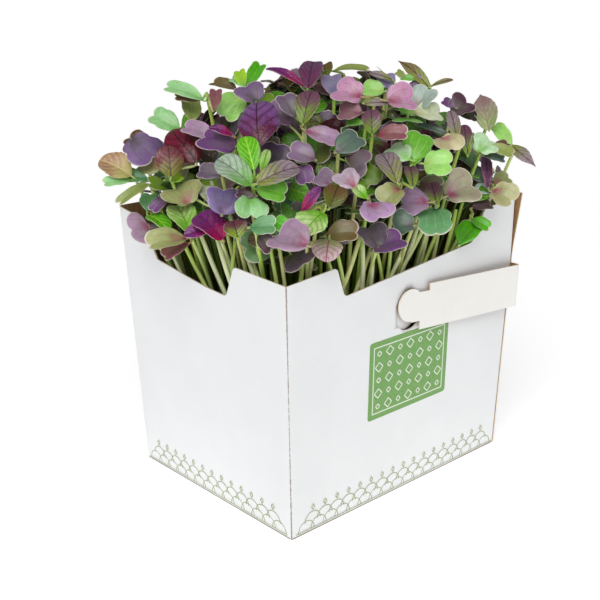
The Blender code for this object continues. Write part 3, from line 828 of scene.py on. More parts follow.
def damp_peat():
    """Damp peat: near-black crumbs with a few paler fibres."""
    material, tree, shader = new_finish("damp_peat", 0.85)
    place = add(tree, "TexCoord", {}, out="Object")
    crumbs = add(tree, "TexVoronoi", {"Vector": place, "Scale": 1 / (1.6 * MM)})
    dark = add(tree, "Mix", {SHARE: crumbs, FROM: linear("#1A130E"), TO: linear("#3A2A1E")}, **COLOUR_MIX)
    fleck = mottled(tree, 1.1, 0.58, 0.74, detail=5)
    colour = add(tree, "Mix", {SHARE: fleck, FROM: dark, TO: linear("#6B5238")}, **COLOUR_MIX)
    finish_with(tree, shader, colour, crumbs, 0.6)
    return material


def stem_skin():
    """Living stem: moist pale green skin, a little translucent, with faint lengthwise streaks."""
    material, tree, shader = new_finish("stem_skin", 0.34, STEM_GLOW)
    streak = mottled(tree, 0.5, 0.3, 0.7, stretch=(1, 1, 0.08), detail=2)
    tint = add(tree, "Attribute", {}, out="Color", attribute_name="foot_tint")
    shade = add(tree, "Mix", {SHARE: 0.18, FROM: tint, TO: linear("#8FA34E")}, **MULTIPLY_MIX)
    colour = add(tree, "Mix", {SHARE: streak, FROM: shade, TO: tint}, **COLOUR_MIX)
    finish_with(tree, shader, colour, streak, 0.03, 0.6)
    return material


def leaf_colour(tree, foot_end):
    """Foot colour giving way unevenly to tip colour along the leaf, with soft clouding."""
    along = add(tree, "Attribute", {}, out="Fac", attribute_name="along")
    uneven = mottled(tree, 4.2, 0.2, 0.8)
    uneven = add(tree, "Math", {0: uneven, 1: 0.36, 2: -0.18}, operation="MULTIPLY_ADD")
    reach = add(tree, "Math", {0: along, 1: uneven}, operation="ADD")
    reach = add(tree, "MapRange", {"Value": reach, "From Min": 0.06, "From Max": foot_end},
                interpolation_type="SMOOTHSTEP")
    foot = add(tree, "Attribute", {}, out="Color", attribute_name="foot_tint")
    tip = add(tree, "Attribute", {}, out="Color", attribute_name="tip_tint")
    body = add(tree, "Mix", {SHARE: reach, FROM: foot, TO: tip}, **COLOUR_MIX)
    shade = add(tree, "Mix", {SHARE: 0.22, FROM: body, TO: linear("#6E6E6E")}, **MULTIPLY_MIX)
    clouds = mottled(tree, 2.2, 0.25, 0.75, detail=2)
    return add(tree, "Mix", {SHARE: clouds, FROM: shade, TO: body}, **COLOUR_MIX)


def underside_and_rim(tree, colour, rim_from, rim_share):
    """The paler back of a leaf, and the thin pale line round its margin."""
    upper = add(tree, "Attribute", {}, out="Fac", attribute_name="upper")
    back = add(tree, "MapRange", {"Value": upper, "From Min": 0.6, "From Max": 0.4, "To Max": 0.25})
    colour = add(tree, "Mix", {SHARE: back, FROM: colour, TO: linear("#A093A2")}, **COLOUR_MIX)
    margin = add(tree, "Attribute", {}, out="Fac", attribute_name="margin")
    rim = add(tree, "MapRange", {"Value": margin, "From Min": rim_from, "From Max": rim_from + 0.025,
                                 "To Max": rim_share})
    return add(tree, "Mix", {SHARE: rim, FROM: colour, TO: linear("#EBDDD0")}, **COLOUR_MIX)


def vein_line(tree, from_width, full_width, most):
    """Share of vein colour near a whole or half number of the ribs value, which runs across the blade."""
    ribs = add(tree, "Attribute", {}, out="Fac", attribute_name="ribs")
    ribs = add(tree, "Math", {0: ribs, 1: 0.5}, operation="PINGPONG")
    line = add(tree, "MapRange", {"Value": ribs, "From Min": from_width, "From Max": full_width,
                                  "To Max": most}, interpolation_type="SMOOTHSTEP")
    broad = add(tree, "MapRange", {"Value": ribs, "From Min": 0.5, "From Max": 0.0, "To Max": 1.0})
    return line, broad


def seed_leaf_skin():
    """Seed leaf: smooth with a waxy sheen, blushed at its foot, a few faint veins and a thin pale rim."""
    material, tree, shader = new_finish("seed_leaf", 0.34, LEAF_GLOW)
    colour = leaf_colour(tree, 0.55)
    margin = add(tree, "Attribute", {}, out="Fac", attribute_name="margin")
    patchy = mottled(tree, 3.4, 0.25, 0.75)
    patchy = add(tree, "Math", {0: patchy, 1: 0.5, 2: -0.25}, operation="MULTIPLY_ADD")
    inside = add(tree, "Math", {0: margin, 1: patchy}, operation="ADD")
    inside = add(tree, "MapRange", {"Value": inside, "From Min": 0.92, "From Max": 0.45, "To Max": 0.2},
                 interpolation_type="SMOOTHSTEP")
    colour = add(tree, "Mix", {SHARE: inside, FROM: colour, TO: linear("#7F9A66")}, **COLOUR_MIX)
    line, _ = vein_line(tree, 0.10, 0.0, 0.42)
    tint = add(tree, "Attribute", {}, out="Color", attribute_name="vein_tint")
    colour = add(tree, "Mix", {SHARE: line, FROM: colour, TO: tint}, **COLOUR_MIX)
    relief = add(tree, "Math", {0: mottled(tree, 0.8, 0.3, 0.7), 1: line}, operation="SUBTRACT")
    finish_with(tree, shader, underside_and_rim(tree, colour, 0.955, 0.72), relief, 0.06, 0.35)
    return material


def true_leaf_skin():
    """True leaf: glossier, puckered between a midrib, side veins and a fine net."""
    material, tree, shader = new_finish("true_leaf", 0.28, LEAF_GLOW)
    colour = leaf_colour(tree, 0.72)
    line, broad = vein_line(tree, 0.085, 0.02, 0.8)
    aside = add(tree, "Attribute", {}, out="Fac", attribute_name="aside")
    aside = add(tree, "Math", {0: aside}, operation="ABSOLUTE")
    spine = add(tree, "MapRange", {"Value": aside, "From Min": 0.36, "From Max": 0.12})
    place = add(tree, "TexCoord", {}, out="Object")
    net = add(tree, "TexVoronoi", {"Vector": place, "Scale": 1 / (1.3 * MM)}, feature="DISTANCE_TO_EDGE")
    net = add(tree, "MapRange", {"Value": net, "From Min": 0.09, "From Max": 0.0, "To Max": 0.25})
    vein = add(tree, "Math", {0: line, 1: spine}, operation="MAXIMUM")
    vein = add(tree, "Math", {0: vein, 1: net}, operation="MAXIMUM")
    tint = add(tree, "Attribute", {}, out="Color", attribute_name="vein_tint")
    # Painted shade: the blade darkens broadly towards its veins, where the puckered surface dips
    painted_hollow_shade = add(tree, "Math", {0: broad, 1: 0.32}, operation="MULTIPLY")
    colour = add(tree, "Mix", {SHARE: painted_hollow_shade, FROM: colour, TO: tint}, **COLOUR_MIX)
    colour = add(tree, "Mix", {SHARE: vein, FROM: colour, TO: tint}, **COLOUR_MIX)
    relief = add(tree, "Math", {0: mottled(tree, 0.9, 0.3, 0.7, detail=2), 1: vein}, operation="SUBTRACT")
    finish_with(tree, shader, underside_and_rim(tree, colour, 0.965, 0.4), relief, 0.12, 0.6)
    return material


def studio_floor():
    """Lit white table: bright enough that only the softest contact shadow shows."""
    return two_tone("lit_white_table", 0.9, linear("#F4F4F4"), linear("#F8F8F8"),
                    {"size_mm": 6, "low": 0.2, "high": 0.8}, depth_mm=0.01, strength=0.1,
                    sockets={"Emission Strength": 0.47, "Emission Color": (1, 1, 1, 1)})


# Carton

def half_x(z):
    """Half the carton's length at a height."""
    return BASE_X / 2 + LEAN * z


def half_y(z):
    """Half the carton's width at a height."""
    return BASE_Y / 2 + LEAN * z


def free_edge(z):
    """The front wall's free right edge: a slit's width inside the side wall, and more near the top."""
    board = settings()[0].board / MM
    wider = SLIT_WIDENS * np.clip((z - SLIT_SPREAD) / (HEIGHT - SLIT_SPREAD), 0, 1)
    return half_x(z) - board - SLIT - wider


def rounded(corners):
    """A chain of (distance, height, radius) corners as points, each round corner an arc."""
    points = []
    for index, (a, z, radius) in enumerate(corners):
        here = np.array((a, z), float)
        if not radius:
            points.append(here)
            continue
        before = unit(np.subtract(corners[index - 1][:2], here))
        after = unit(np.subtract(corners[index + 1][:2], here))
        half = math.acos(before @ after) / 2
        centre = here + unit(before + after) * radius / math.sin(half)
        start = here + before * radius / math.tan(half) - centre
        finish = here + after * radius / math.tan(half) - centre
        for share in np.linspace(0, 1, 7):
            points.append(centre + unit(start * (1 - share) + finish * share) * radius)
    points = np.array(points)
    return points[np.argsort(points[:, 0])]


def bulge(share, z):
    """Outward bow of a wall, greatest at its middle."""
    bow = settings()[0].bow / MM
    return bow * 4 * share * (1 - share) * np.sin(np.pi * z / HEIGHT)


def wall_columns(name):
    """Shares of a wall's length at which a column of points stands: even ones and its edge's corners."""
    even = np.linspace(0, 1, WALL_COLUMNS[name])
    if name == "front":
        edge = rounded(RIGHT_EDGE)
        inside = edge[np.abs(edge[:, 0]) < BASE_X / 2]
        ends = free_edge(inside[:, 1]), -half_x(inside[:, 1]) + CORNER
    elif name == "left":
        edge = rounded(LEFT_EDGE)
        inside = edge[np.abs(edge[:, 0]) < BASE_Y / 2 + 1]
        ends = -half_y(inside[:, 1]) + CORNER, half_y(inside[:, 1]) - CORNER
    else:
        return even
    return np.unique(np.concatenate([even, (inside[:, 0] - ends[0]) / (ends[1] - ends[0])]))


def wall_place(name, share, z, inset):
    """A wall's point: between its two ends, bowed outwards, and set in by part of the board's thickness."""
    out = bulge(share, z) - inset
    x, y = half_x(z), half_y(z)
    if name == "front":
        return free_edge(z) * (1 - share) + (CORNER - x) * share, -y - out
    if name == "left":
        return -x - out, (y - CORNER) * (2 * share - 1)
    if name == "back":
        return (x - CORNER) * (2 * share - 1), y + out
    lip = -half_y(z) - LIP_REACH * np.clip((z - LIP_FROM) / (HEIGHT - LIP_FROM), 0, 1)
    return x + out, (y - CORNER) * (1 - share) + lip * share


def top_of(name, share):
    """Height of a wall's top edge at a share of its length: where that column of points meets the cut."""
    if name == "back":
        return np.full_like(share, HEIGHT - BACK_DROP)
    if name == "side":
        return HEIGHT - BACK_DROP + SIDE_RISE * share
    edge = rounded(RIGHT_EDGE if name == "front" else LEFT_EDGE)
    first_guess, rounds = 95.0, 6
    z = np.full_like(share, first_guess)
    for _ in range(rounds):
        place = wall_place(name, share, z, 0)[0 if name == "front" else 1]
        z = np.interp(place, edge[:, 0], edge[:, 1])
    return z


def corner_place(sign_x, sign_y, angle, z, inset):
    """A folded corner's point: a quarter arc about a line that leans with the walls."""
    radius = CORNER - inset
    return (sign_x * (half_x(z) - CORNER) + radius * np.cos(angle),
            sign_y * (half_y(z) - CORNER) + radius * np.sin(angle))


def carton_grid(inset):
    """The folded sheet from the front wall's free edge round three corners to the lip, rows rising."""
    names = ("front", "left", "back", "side")
    corners = ((-1, -1, 270, 180), (-1, 1, 180, 90), (1, 1, 90, 0))
    rise = np.append((0, FOOT_ROW), np.linspace(0, 1, WALL_ROWS)[1:])[:, None]
    # The bottom row's crease value paints the contact shadow line along the floor
    foot = np.where(rise == 0, FOOT_PAINTED_SHADOW, 0.0)
    worn = 1 - MIDDLE_SPARED * np.sin(np.pi * rise)
    tops = [top_of(name, wall_columns(name)) for name in names]
    blocks, creases = [], []
    for index, name in enumerate(names):
        share = wall_columns(name)
        z = rise * tops[index]
        x, y = wall_place(name, share[None, :], z, inset)
        blocks.append(np.stack([x, y, z], -1))
        creases.append(foot + np.zeros(z.shape))
        if index < 3:
            sign_x, sign_y, start, finish = corners[index]
            turn = np.linspace(0, 1, CORNER_STEPS + 2)[1:-1]
            top = tops[index][-1] * (1 - turn) + tops[index + 1][0] * turn
            z = rise * top
            angle = np.radians(start + (finish - start) * turn)
            x, y = corner_place(sign_x, sign_y, angle[None, :], z, inset)
            blocks.append(np.stack([x, y, z], -1))
            creases.append(worn * (1 - np.abs(2 * turn - 1) * CORNER_FADE))
    return np.concatenate(blocks, 1), np.concatenate(creases, 1)


def build_carton_piece():
    """The folded blank with its floor and the tongue's hole, and the hole's disc beside it."""
    board = settings()[0].board / MM
    shape = Shape()
    outer, crease = carton_grid(0)
    inner, _ = carton_grid(board)
    add_sheet(shape, outer, inner, values={"crease": crease})
    floor = level_grid(BASE_X / 2 - board - FLOOR_GAP, BASE_Y / 2 - board - FLOOR_GAP, 9, 7)
    add_sheet(shape, floor + (0, 0, board), floor, kinds=(1, 0, 2),
              values={"crease": np.zeros(floor.shape[:2])})
    finishes = [coated_board("clay_coated_board", settings()[0].white), kraft_board(), cut_edge()]
    carton = shape.build("folded_carton", finishes, sharp_degrees=40)
    cut_tongue_hole(carton)
    return carton, build_hole_flap(board, finishes)


def build_hole_flap(board, finishes):
    """The hole's disc, still held along a chord at its left and bent into the carton."""
    chord, bent = HOLE_CHORD, HOLE_BEND
    hinge = HOLE_X - HOLE_RADIUS * math.cos(chord)
    reach = np.linspace(0, 1, 11)[:, None]
    side = np.linspace(-1, 1, 9)[None, :]
    length = HOLE_RADIUS * (1 + math.cos(chord)) - 2 * FLAP_PLAY
    out = reach * length
    middle = HOLE_RADIUS * math.cos(chord)
    half = np.sqrt(np.maximum((HOLE_RADIUS - FLAP_PLAY) ** 2 - (out - middle) ** 2, 0))
    z = HOLE_Z + side * half
    x = hinge + FLAP_PLAY / 2 + out * math.cos(bent) + 0 * side
    y = -half_y(z) + FLAP_INSET + out * math.sin(bent)
    face = np.stack([x, y, z], -1).transpose(1, 0, 2)
    normal = np.array((math.sin(bent), -math.cos(bent), 0))
    shape = Shape()
    add_sheet(shape, face[:, ::-1], face[:, ::-1] - normal * board,
              values={"crease": np.zeros(face.shape[:2])})
    return shape.build("tongue_hole_flap", finishes, sharp_degrees=40)


def cut_tongue_hole(carton):
    """Cuts the hole that the tongue covers: a circle, straight where its disc is still joined."""
    tool = Shape()
    turn = np.radians(np.linspace(0, 360, 49))
    across = np.maximum(HOLE_RADIUS * np.cos(turn), -HOLE_RADIUS * math.cos(HOLE_CHORD))
    ring = np.stack([across, 0 * turn, HOLE_RADIUS * np.sin(turn)], -1)
    middle = np.array((HOLE_X, -half_y(HOLE_Z), HOLE_Z))
    outside, inside = -3, 1.5
    rows = [middle + ring * size + (0, reach, 0)
            for size, reach in ((0, outside), (1, outside), (1, inside), (0, inside))]
    tool.add(np.array(rows), grid_quads(4, len(turn)))
    cutter = tool.build("hole_cutter", [cut_edge()])
    bpy.context.view_layer.objects.active = carton
    modifier = carton.modifiers.new("Hole", "BOOLEAN")
    modifier.operation = "DIFFERENCE"
    modifier.solver = "EXACT"
    modifier.material_mode = "TRANSFER"
    modifier.object = cutter
    with bpy.context.temp_override(object=carton, active_object=carton):
        bpy.ops.object.modifier_apply(modifier=modifier.name)
    bpy.data.objects.remove(cutter, do_unlink=True)


def strap_path(lengths):
    """Plan points and outward directions of the strap at signed lengths from its fold.

    Two straight runs, down the lip's plane and along the front wall, joined by an arc at the fold.
    """
    turn = math.radians(90) + STRAP_TURN_IN
    tangent = STRAP_BEND * math.tan(turn / 2)
    arc = STRAP_BEND * turn
    fold = np.array((FOLD_X, FOLD_Y))
    run = np.array((-math.cos(STRAP_TURN_IN), math.sin(STRAP_TURN_IN)))
    start = fold + np.array((0, tangent))
    centre = start + np.array((-STRAP_BEND, 0))
    before, after = -arc / 2, arc / 2
    angle = np.clip((lengths - before) / arc, 0, 1) * turn
    out = np.stack([np.cos(angle), -np.sin(angle)], -1)
    points = centre + out * STRAP_BEND
    points = points + np.minimum(lengths - before, 0)[:, None] * np.array((0, -1))
    return points + np.maximum(lengths - after, 0)[:, None] * run, out


def strap_half_widths(lengths):
    """Reach above and below the middle line: strap, slanted shoulders, neck, and a round tongue."""
    circle = np.sqrt(np.maximum(TONGUE_RADIUS ** 2 - (lengths - TONGUE_REACH) ** 2, 0))
    before = lengths < TONGUE_REACH
    top = np.where(before, np.maximum(circle + TONGUE_LIFT, NECK_TOP), circle + TONGUE_LIFT)
    low = np.where(before, NECK_LOW, circle - TONGUE_LIFT)
    top = np.where(lengths <= STRAP_LENGTH - SHOULDER_SLANT, STRAP_HALF, top)
    low = np.where(lengths <= STRAP_LENGTH + SHOULDER_SLANT, STRAP_HALF, low)
    return top, low


def build_strap_piece():
    """The strap as one sheet, from the lip's edge round the fold to the tongue's tip."""
    board = settings()[0].board / MM
    lead = np.linspace(STRAP_ROOT, 3, 23)
    body = np.linspace(3.5, STRAP_LENGTH, 30)
    top_end, low_end = STRAP_LENGTH - SHOULDER_SLANT, STRAP_LENGTH + SHOULDER_SLANT
    shoulders = np.array((top_end, top_end + 0.01, low_end, low_end + 0.01))
    neck = np.linspace(low_end + 0.5, TONGUE_REACH, 10)
    tip = TONGUE_REACH + TONGUE_RADIUS * np.sin(np.linspace(0, math.pi / 2, 16))
    lengths = np.unique(np.concatenate([lead, body, shoulders, neck, tip]))
    top, low = strap_half_widths(lengths)
    plan, out = strap_path(lengths)
    side = np.linspace(0, 1, 9)[:, None]
    height = -low * (1 - side) + top * side
    lean = LEAN * (height + np.maximum(lengths, 0) * math.sin(STRAP_RISE))
    middle = STRAP_MID_Z + np.maximum(lengths, 0) * math.sin(STRAP_RISE)
    x = plan[:, 0] + out[:, 0] * lean
    y = plan[:, 1] + out[:, 1] * lean
    face = np.stack([x, y, np.broadcast_to(middle + height, x.shape)], -1)
    normal = np.concatenate([out, np.zeros((len(out), 1))], 1)
    shape = Shape()
    crease_width, wear = 0.5, 0.6
    crease = np.broadcast_to(np.exp(-(lengths / crease_width) ** 2) * wear, x.shape)
    add_sheet(shape, face + normal * board / 2, face - normal * board / 2, values={"crease": crease})
    white = coated_board("strap_board", linear("#F8F6F1")[:3])
    return shape.build("closing_strap_folded", [white, kraft_board(), cut_edge()], sharp_degrees=40)


# Prints on the walls

def on_wall(wall, across, z, proud):
    """Place on an outer wall: across runs to the right seen from outside, proud is out of the surface."""
    if wall == "front":
        share = (free_edge(z) - across) / (free_edge(z) + half_x(z) - CORNER)
        return np.stack([across, -half_y(z) - bulge(share, z) - proud, z], -1)
    share = (half_y(z) - CORNER - across) / (2 * (half_y(z) - CORNER))
    return np.stack([-half_x(z) - bulge(share, z) - proud, -across, z], -1)


def add_print(shape, wall, across, z, proud, kind=0):
    """A film of ink as a closed sheet; rows run across and columns up the wall."""
    add_sheet(shape, on_wall(wall, across, z, proud + FILM), on_wall(wall, across, z, proud),
              kinds=(kind, kind, kind))


def add_line(shape, wall, path, width, proud, kind=0):
    """A printed line: a path of (across, height) points given a width to both sides."""
    path = np.asarray(path, float)
    along = unit(np.gradient(path, axis=0))
    aside = np.stack([along[:, 1], -along[:, 0]], -1)
    sides = np.array((-0.5, 0.5))[:, None, None] * width
    points = path[None] + aside[None] * sides
    add_print(shape, wall, points[..., 0], points[..., 1], proud, kind)


def rounded_panel(centre, half_width, half_height, radius):
    """Grid of a rectangle with round corners: a row's height shrinks by a quarter circle at both ends."""
    swing = np.linspace(0, math.pi / 2, 7)
    end = half_width - radius + radius * np.sin(swing)
    straight = np.linspace(-half_width + radius, half_width - radius, 13)[1:-1]
    across = np.concatenate([-end[::-1], straight, end])
    past = np.maximum(np.abs(across) - (half_width - radius), 0)
    reach = half_height - radius + np.sqrt(np.maximum(radius ** 2 - past ** 2, 0))
    up = np.linspace(-1, 1, 9)[None, :] * reach[:, None]
    return centre[0] + across[:, None] + 0 * up, centre[1] + up


def build_panel_print():
    """Green panel with a pale frame and a plain lattice of lozenges in pale lines."""
    carton = settings()[0]
    shape = Shape()
    green, pale = 0, 1
    add_print(shape, "front", *rounded_panel(PANEL_MIDDLE, *PANEL_HALF, PANEL_CORNER), INK_LIFT, green)
    half = np.subtract(PANEL_HALF, FRAME_INSET)
    corners = np.array(((-1, -1), (1, -1), (1, 1), (-1, 1), (-1, -1))) * half + PANEL_MIDDLE
    for start, finish in zip(corners[:-1], corners[1:]):
        reach = unit(finish - start) * FRAME_LINE / 2
        frame_side = np.linspace(start - reach, finish + reach, 12)
        add_line(shape, "front", frame_side, FRAME_LINE, PALE_LIFT, pale)
    cell = half * 2 / (LOZENGE_COLUMNS, LOZENGE_ROWS)
    for column in range(LOZENGE_COLUMNS):
        for row in range(LOZENGE_ROWS):
            centre = np.subtract(PANEL_MIDDLE, half) + (np.array((column, row)) + 0.5) * cell
            size = cell * (LOZENGE_LARGE if (column + row) % 2 else LOZENGE_SMALL)
            turns = np.radians(np.arange(5) * 90)
            loop = centre + np.stack([np.cos(turns), np.sin(turns)], -1) * size
            for start, finish in zip(loop[:-1], loop[1:]):
                add_line(shape, "front", np.linspace(start, finish, 3), LOZENGE_LINE, PALE_LIFT, pale)
    inks = [printed_ink("green_ink", carton.ink), printed_ink("pale_ink", linear("#E4EDD9")[:3])]
    return shape.build("panel_print", inks, sharp_degrees=40)


def build_border_print():
    """Foot border: two tiers of overlapping arcs under a row of lozenges."""
    carton = settings()[0]
    shape = Shape()
    width = carton.line / MM
    swing = np.radians(np.linspace(0, 180, 13))
    arc = np.stack([-np.cos(swing), np.sin(swing)], -1) * BORDER_ARC
    for wall, half in (("front", BASE_X / 2), ("left", BASE_Y / 2)):
        count = int((2 * half - 2 * BORDER_ARC - 1) // BORDER_STEP)
        first = -count * BORDER_STEP / 2
        for tier in range(BORDER_TIERS):
            for index in range(count + 1 - tier % 2):
                across = first + (index + tier % 2 / 2) * BORDER_STEP
                middle = np.array((across, BORDER_FOOT + tier * BORDER_RISE))
                proud = INK_LIFT + TIER_LIFT * tier + TIER_LIFT / 2 * (index % 2)
                add_line(shape, wall, middle + arc, width, proud)
                if tier == BORDER_TIERS - 1:
                    tip = middle + (0, BORDER_ARC + BUD_LIFT)
                    for side in (-1, 1):
                        loop = ((0, -BUD_HALF[1]), (side * BUD_HALF[0], 0), (0, BUD_HALF[1])) + tip
                        add_line(shape, wall, loop[:2], width, BUD_PROUD[0])
                        add_line(shape, wall, loop[1:], width, BUD_PROUD[1])
        foot = np.linspace((-half + 2, BORDER_FOOT), (half - 2, BORDER_FOOT), 24)
        add_line(shape, wall, foot, width, FOOT_PROUD)
    return shape.build("border_print", [printed_ink("olive_ink", carton.border)], sharp_degrees=40)


# Plants

def leaf_values(look, along, margin, aside, ribs):
    """Point values of a leaf's upper and lower grids; a look is its tip, foot and vein colours."""
    count = along.size
    values = {"along": along, "margin": margin, "aside": aside, "ribs": ribs}
    values = {key: np.tile(np.ravel(value), 2) for key, value in values.items()}
    values["upper"] = np.repeat((1.0, 0.0), count)
    for key, colour in zip(("tip_tint", "foot_tint", "vein_tint"), LOOKS[look]):
        values[key] = np.tile(skin_tint(colour), (2 * count, 1))
    return values


def skin_tint(hex_text):
    """A leaf's own colour under its sheen and in soft light: stronger and lighter than it looks."""
    colour = np.array(linear(hex_text)[:3])
    grey = colour @ (0.3, 0.5, 0.2)
    stronger, lighter = 1.25, (1.2, 1.16, 1.08)
    deeper = grey + (colour - grey) * stronger
    return np.append(np.clip(deeper * lighter, 0.004, 0.92), 1)


def add_blade(shape, points, thin, kind, values):
    """A leaf's solid: upper and lower grids half its thickness apart, which meet at the margin."""
    normals = grid_normals(points)
    rows, columns = points.shape[:2]
    front = grid_quads(rows, columns)
    quads = np.concatenate([front, front[:, ::-1] + rows * columns])
    half = thin[..., None] * normals
    sides = np.concatenate([(points + half).reshape(-1, 3), (points - half).reshape(-1, 3)])
    shape.add(sides, quads, kind, values)


def seed_blade(length, width, fold, curl, look, chance, rows=9, columns=29):
    """Grid and values of a seed leaf along x from its foot to its notch, y across and z up.

    In polar form about the foot, the margin is the far side of two equal circles that cross at the
    notch, and falls to nothing past the lines that touch them; the narrower the leaf, the smaller
    and farther its circles. The blade is folded along its middle, its lobes roll over towards their
    margins, its length follows an arc, and its margin waves.
    """
    narrowest, roundest, rim_row, overlap = 0.22, 0.5, 0.95, 6
    roll, ruffle, veins, no_vein = 0.42, 0.06, 2.6, 0.25
    share = np.linspace(0, 1, rows)[:, None] ** 0.8
    share[-2] = rim_row
    slim = width / length
    lobe = np.clip(slim / (3.56 + 0.38 * slim), narrowest, roundest)
    apart = lobe * LOBE_APART * (0.9 + 0.16 * chance[1])
    centre, lean = math.hypot(1 - lobe, apart), math.atan2(apart, 1 - lobe)
    touching = math.degrees(lean + math.asin(lobe / centre))
    widest = touching + 28 + 24 * np.clip(slim - 0.8, 0, 1)
    angle = np.linspace(-widest, widest, columns)[None, :]
    size = np.abs(angle)
    off = np.radians(np.minimum(size, touching)) - lean
    margin = centre * np.cos(off) + np.sqrt(np.maximum(lobe ** 2 - (centre * np.sin(off)) ** 2, 0))
    beside = np.clip((size - touching + overlap) / (widest - touching + overlap), 0, 1)
    waves = 1 + 0.03 * np.sin(angle / 15 + chance[0])
    margin = margin * (np.cos(beside * math.pi / 2) ** 0.7 + 0.02) * waves
    notch = 1 - lobe + math.sqrt(lobe ** 2 - apart ** 2)
    x = share * margin * np.cos(np.radians(angle)) / notch * length
    y = share * margin * np.sin(np.radians(angle))
    y = y / np.abs(y).max() * width / 2
    crease = 0.10 * width
    valley = np.sqrt(y ** 2 + crease ** 2) - crease
    bend = math.radians(curl) / max(length, 3)
    fold = fold + 0.25 * (chance[0] / 6 - 0.4)
    z = fold * valley - roll * y ** 2 / width - bend * (x - length / 2) ** 2 / 2
    z = z + share ** 3 * np.sin(np.radians(angle) * (2.0 + chance[1]) + chance[2]) * ruffle * width
    z = z - z[0, 0]
    thin = settings()[1].blade / MM / 2 * np.clip(1.25 - share, 0.4, 1) * np.ones_like(x)
    thin[-1], thin[:, 0], thin[:, -1] = 0, 0, 0
    ribs = np.minimum(size / widest * veins, 2.2) / np.clip(1.4 - share, 0.5, 1.4)
    values = leaf_values(look, share + 0 * x, share + 0 * x, y, np.where(share > 0.8, no_vein, ribs))
    return np.stack([x, y, z], -1), thin, values, SEED_LEAF


def true_blade(length, width, fold, curl, look, chance, rows=25, columns=15, point=0):
    """Grid and values of a true leaf along x from its foot to its tip, y across and z up.

    The half width is a sine stretched towards the tip and blunted, with small teeth. A positive fold
    cups the blade along its midrib and a negative one domes it. It is puckered between side veins
    that sweep towards the tip, ruffled at its margin, and its length follows an arc.
    """
    teeth, tooth, side_veins, sweep, pucker_height, ruffle_height = 8, 0.045, 5, 2.2, 0.045, 0.07
    v = (1 - np.cos(np.linspace(0, math.pi, rows)))[:, None] / 2
    u = np.sin(np.linspace(-math.pi / 2, math.pi / 2, columns))[None, :]
    toothed = 1 + tooth * np.abs(np.sin(v * teeth * math.pi))
    reach = np.sin(math.pi * v ** (1.12 - 0.35 * point)) ** (0.5 + 0.9 * point * v) * toothed
    y = u * reach * width / 2
    turn = math.radians(curl) * (v - 0.5)
    step = np.diff(v, axis=0)
    mid = (turn[1:] + turn[:-1]) / 2
    x = np.concatenate([[[0]], np.cumsum(np.cos(mid) * step, 0)])
    z = np.concatenate([[[0]], np.cumsum(-np.sin(mid) * step, 0)])
    x, z = x / x[-1] * length, (z - z[-1] * v) * length
    ribs = v * side_veins - sweep * np.abs(u) ** 1.3
    pucker = pucker_height * width * np.abs(np.sin(ribs * math.pi)) * (1 - u ** 4) * np.abs(u) ** 0.5 * reach
    ruffle = ruffle_height * width * u ** 2 * np.sin(v * (6 + 3 * chance[1]) + chance[2] + 2 * u) * reach
    crease = 0.06 * width
    valley = np.sqrt(y ** 2 + crease ** 2) - crease
    shoulder = np.minimum(fold, 0) * y ** 2 / width * 1.8
    z = z + np.maximum(fold, 0.05) * valley + shoulder + pucker + ruffle
    x = x + 0 * y
    thin = np.full(x.shape, settings()[1].blade / MM / 2)
    thin[:, [0, -1]], thin[[0, -1]] = 0, 0
    values = leaf_values(look, v + 0 * x, np.abs(u) + 0 * x, y, ribs)
    return np.stack([x, y, z], -1), thin, values, TRUE_LEAF


def place_blade(shape, blade, foot, tip, normal):
    """Moves a blade's grid so that its foot and tip are at two points and its face along a normal."""
    points, thin, values, kind = blade
    along = unit(tip - foot)
    up = unit(normal - np.dot(normal, along) * along)
    frame_axes = np.stack([along, np.cross(up, along), up])
    add_blade(shape, foot + points @ frame_axes, thin, kind, values)


def stem_values(count, foot_colour, tip_colour):
    """Point values along a stem, which shades from one colour to another."""
    share = np.linspace(0, 1, count)[:, None]
    tint = np.array(foot_colour) * (1 - share) + np.array(tip_colour) * share
    zeros = np.zeros(count)
    values = {key: zeros for key in ("along", "margin", "aside", "ribs")}
    values["upper"] = zeros + 1
    values.update({"tip_tint": tint, "foot_tint": tint, "vein_tint": tint})
    return values


def add_stem(shape, root, head, colours, radius, sides=8, rings=10):
    """A stem that rises straight from its root and leans over near its head, thinner towards it."""
    share = np.linspace(0, 1, rings)[:, None]
    path = np.concatenate([root[:2] + (head[:2] - root[:2]) * share ** STEM_BEND,
                           root[2] + (head[2] - root[2]) * share], 1)
    radii = radius * (1.05 - STEM_SHRINK * share[:, 0])
    add_tube(shape, path, radii, sides, STEM, stem_values(rings, *colours))
    return unit(path[-1] - path[-2])


def add_stalk(shape, head, rising, foot, along, colours, radius=0.6, sides=7):
    """A leaf stalk: a smooth cubic from the stem's head to the leaf's foot, along both their directions."""
    rings = 7
    pull = np.linalg.norm(foot - head)
    path = cubic(head, head + rising * pull * 0.45, foot - along * pull * 0.4, foot + along * 0.3, rings)
    radii = radius * (1.1 - 0.45 * np.linspace(0, 1, rings))
    add_tube(shape, path, radii, sides, STEM, stem_values(rings, *colours))


def stem_tints(generator):
    """A stem's colours low down and at its head, picked at random."""
    foot, tip = STEM_COLOURS[generator.integers(len(STEM_COLOURS))]
    return linear(foot), linear(tip)


def picture_scale(point):
    """Pixels to a millimetre at a point."""
    return FOCAL / np.dot(point - CAMERA_PLACE, FORWARD)


def at_depth(pixel, depth):
    """Point on a pixel's line of sight at a distance along the camera's forward axis."""
    return CAMERA_PLACE + sight(pixel) * depth


def reach_tip(pixel, foot, length, forward):
    """Point on a pixel's line of sight at a length from the foot: the nearer one, or the farther one."""
    ray = sight(pixel)
    offset = CAMERA_PLACE - foot
    middle = -np.dot(ray, offset) / np.dot(ray, ray)
    spare = middle ** 2 - (np.dot(offset, offset) - length ** 2) / np.dot(ray, ray)
    return CAMERA_PLACE + ray * (middle + math.sqrt(max(spare, 0)) * (-1 if forward else 1))


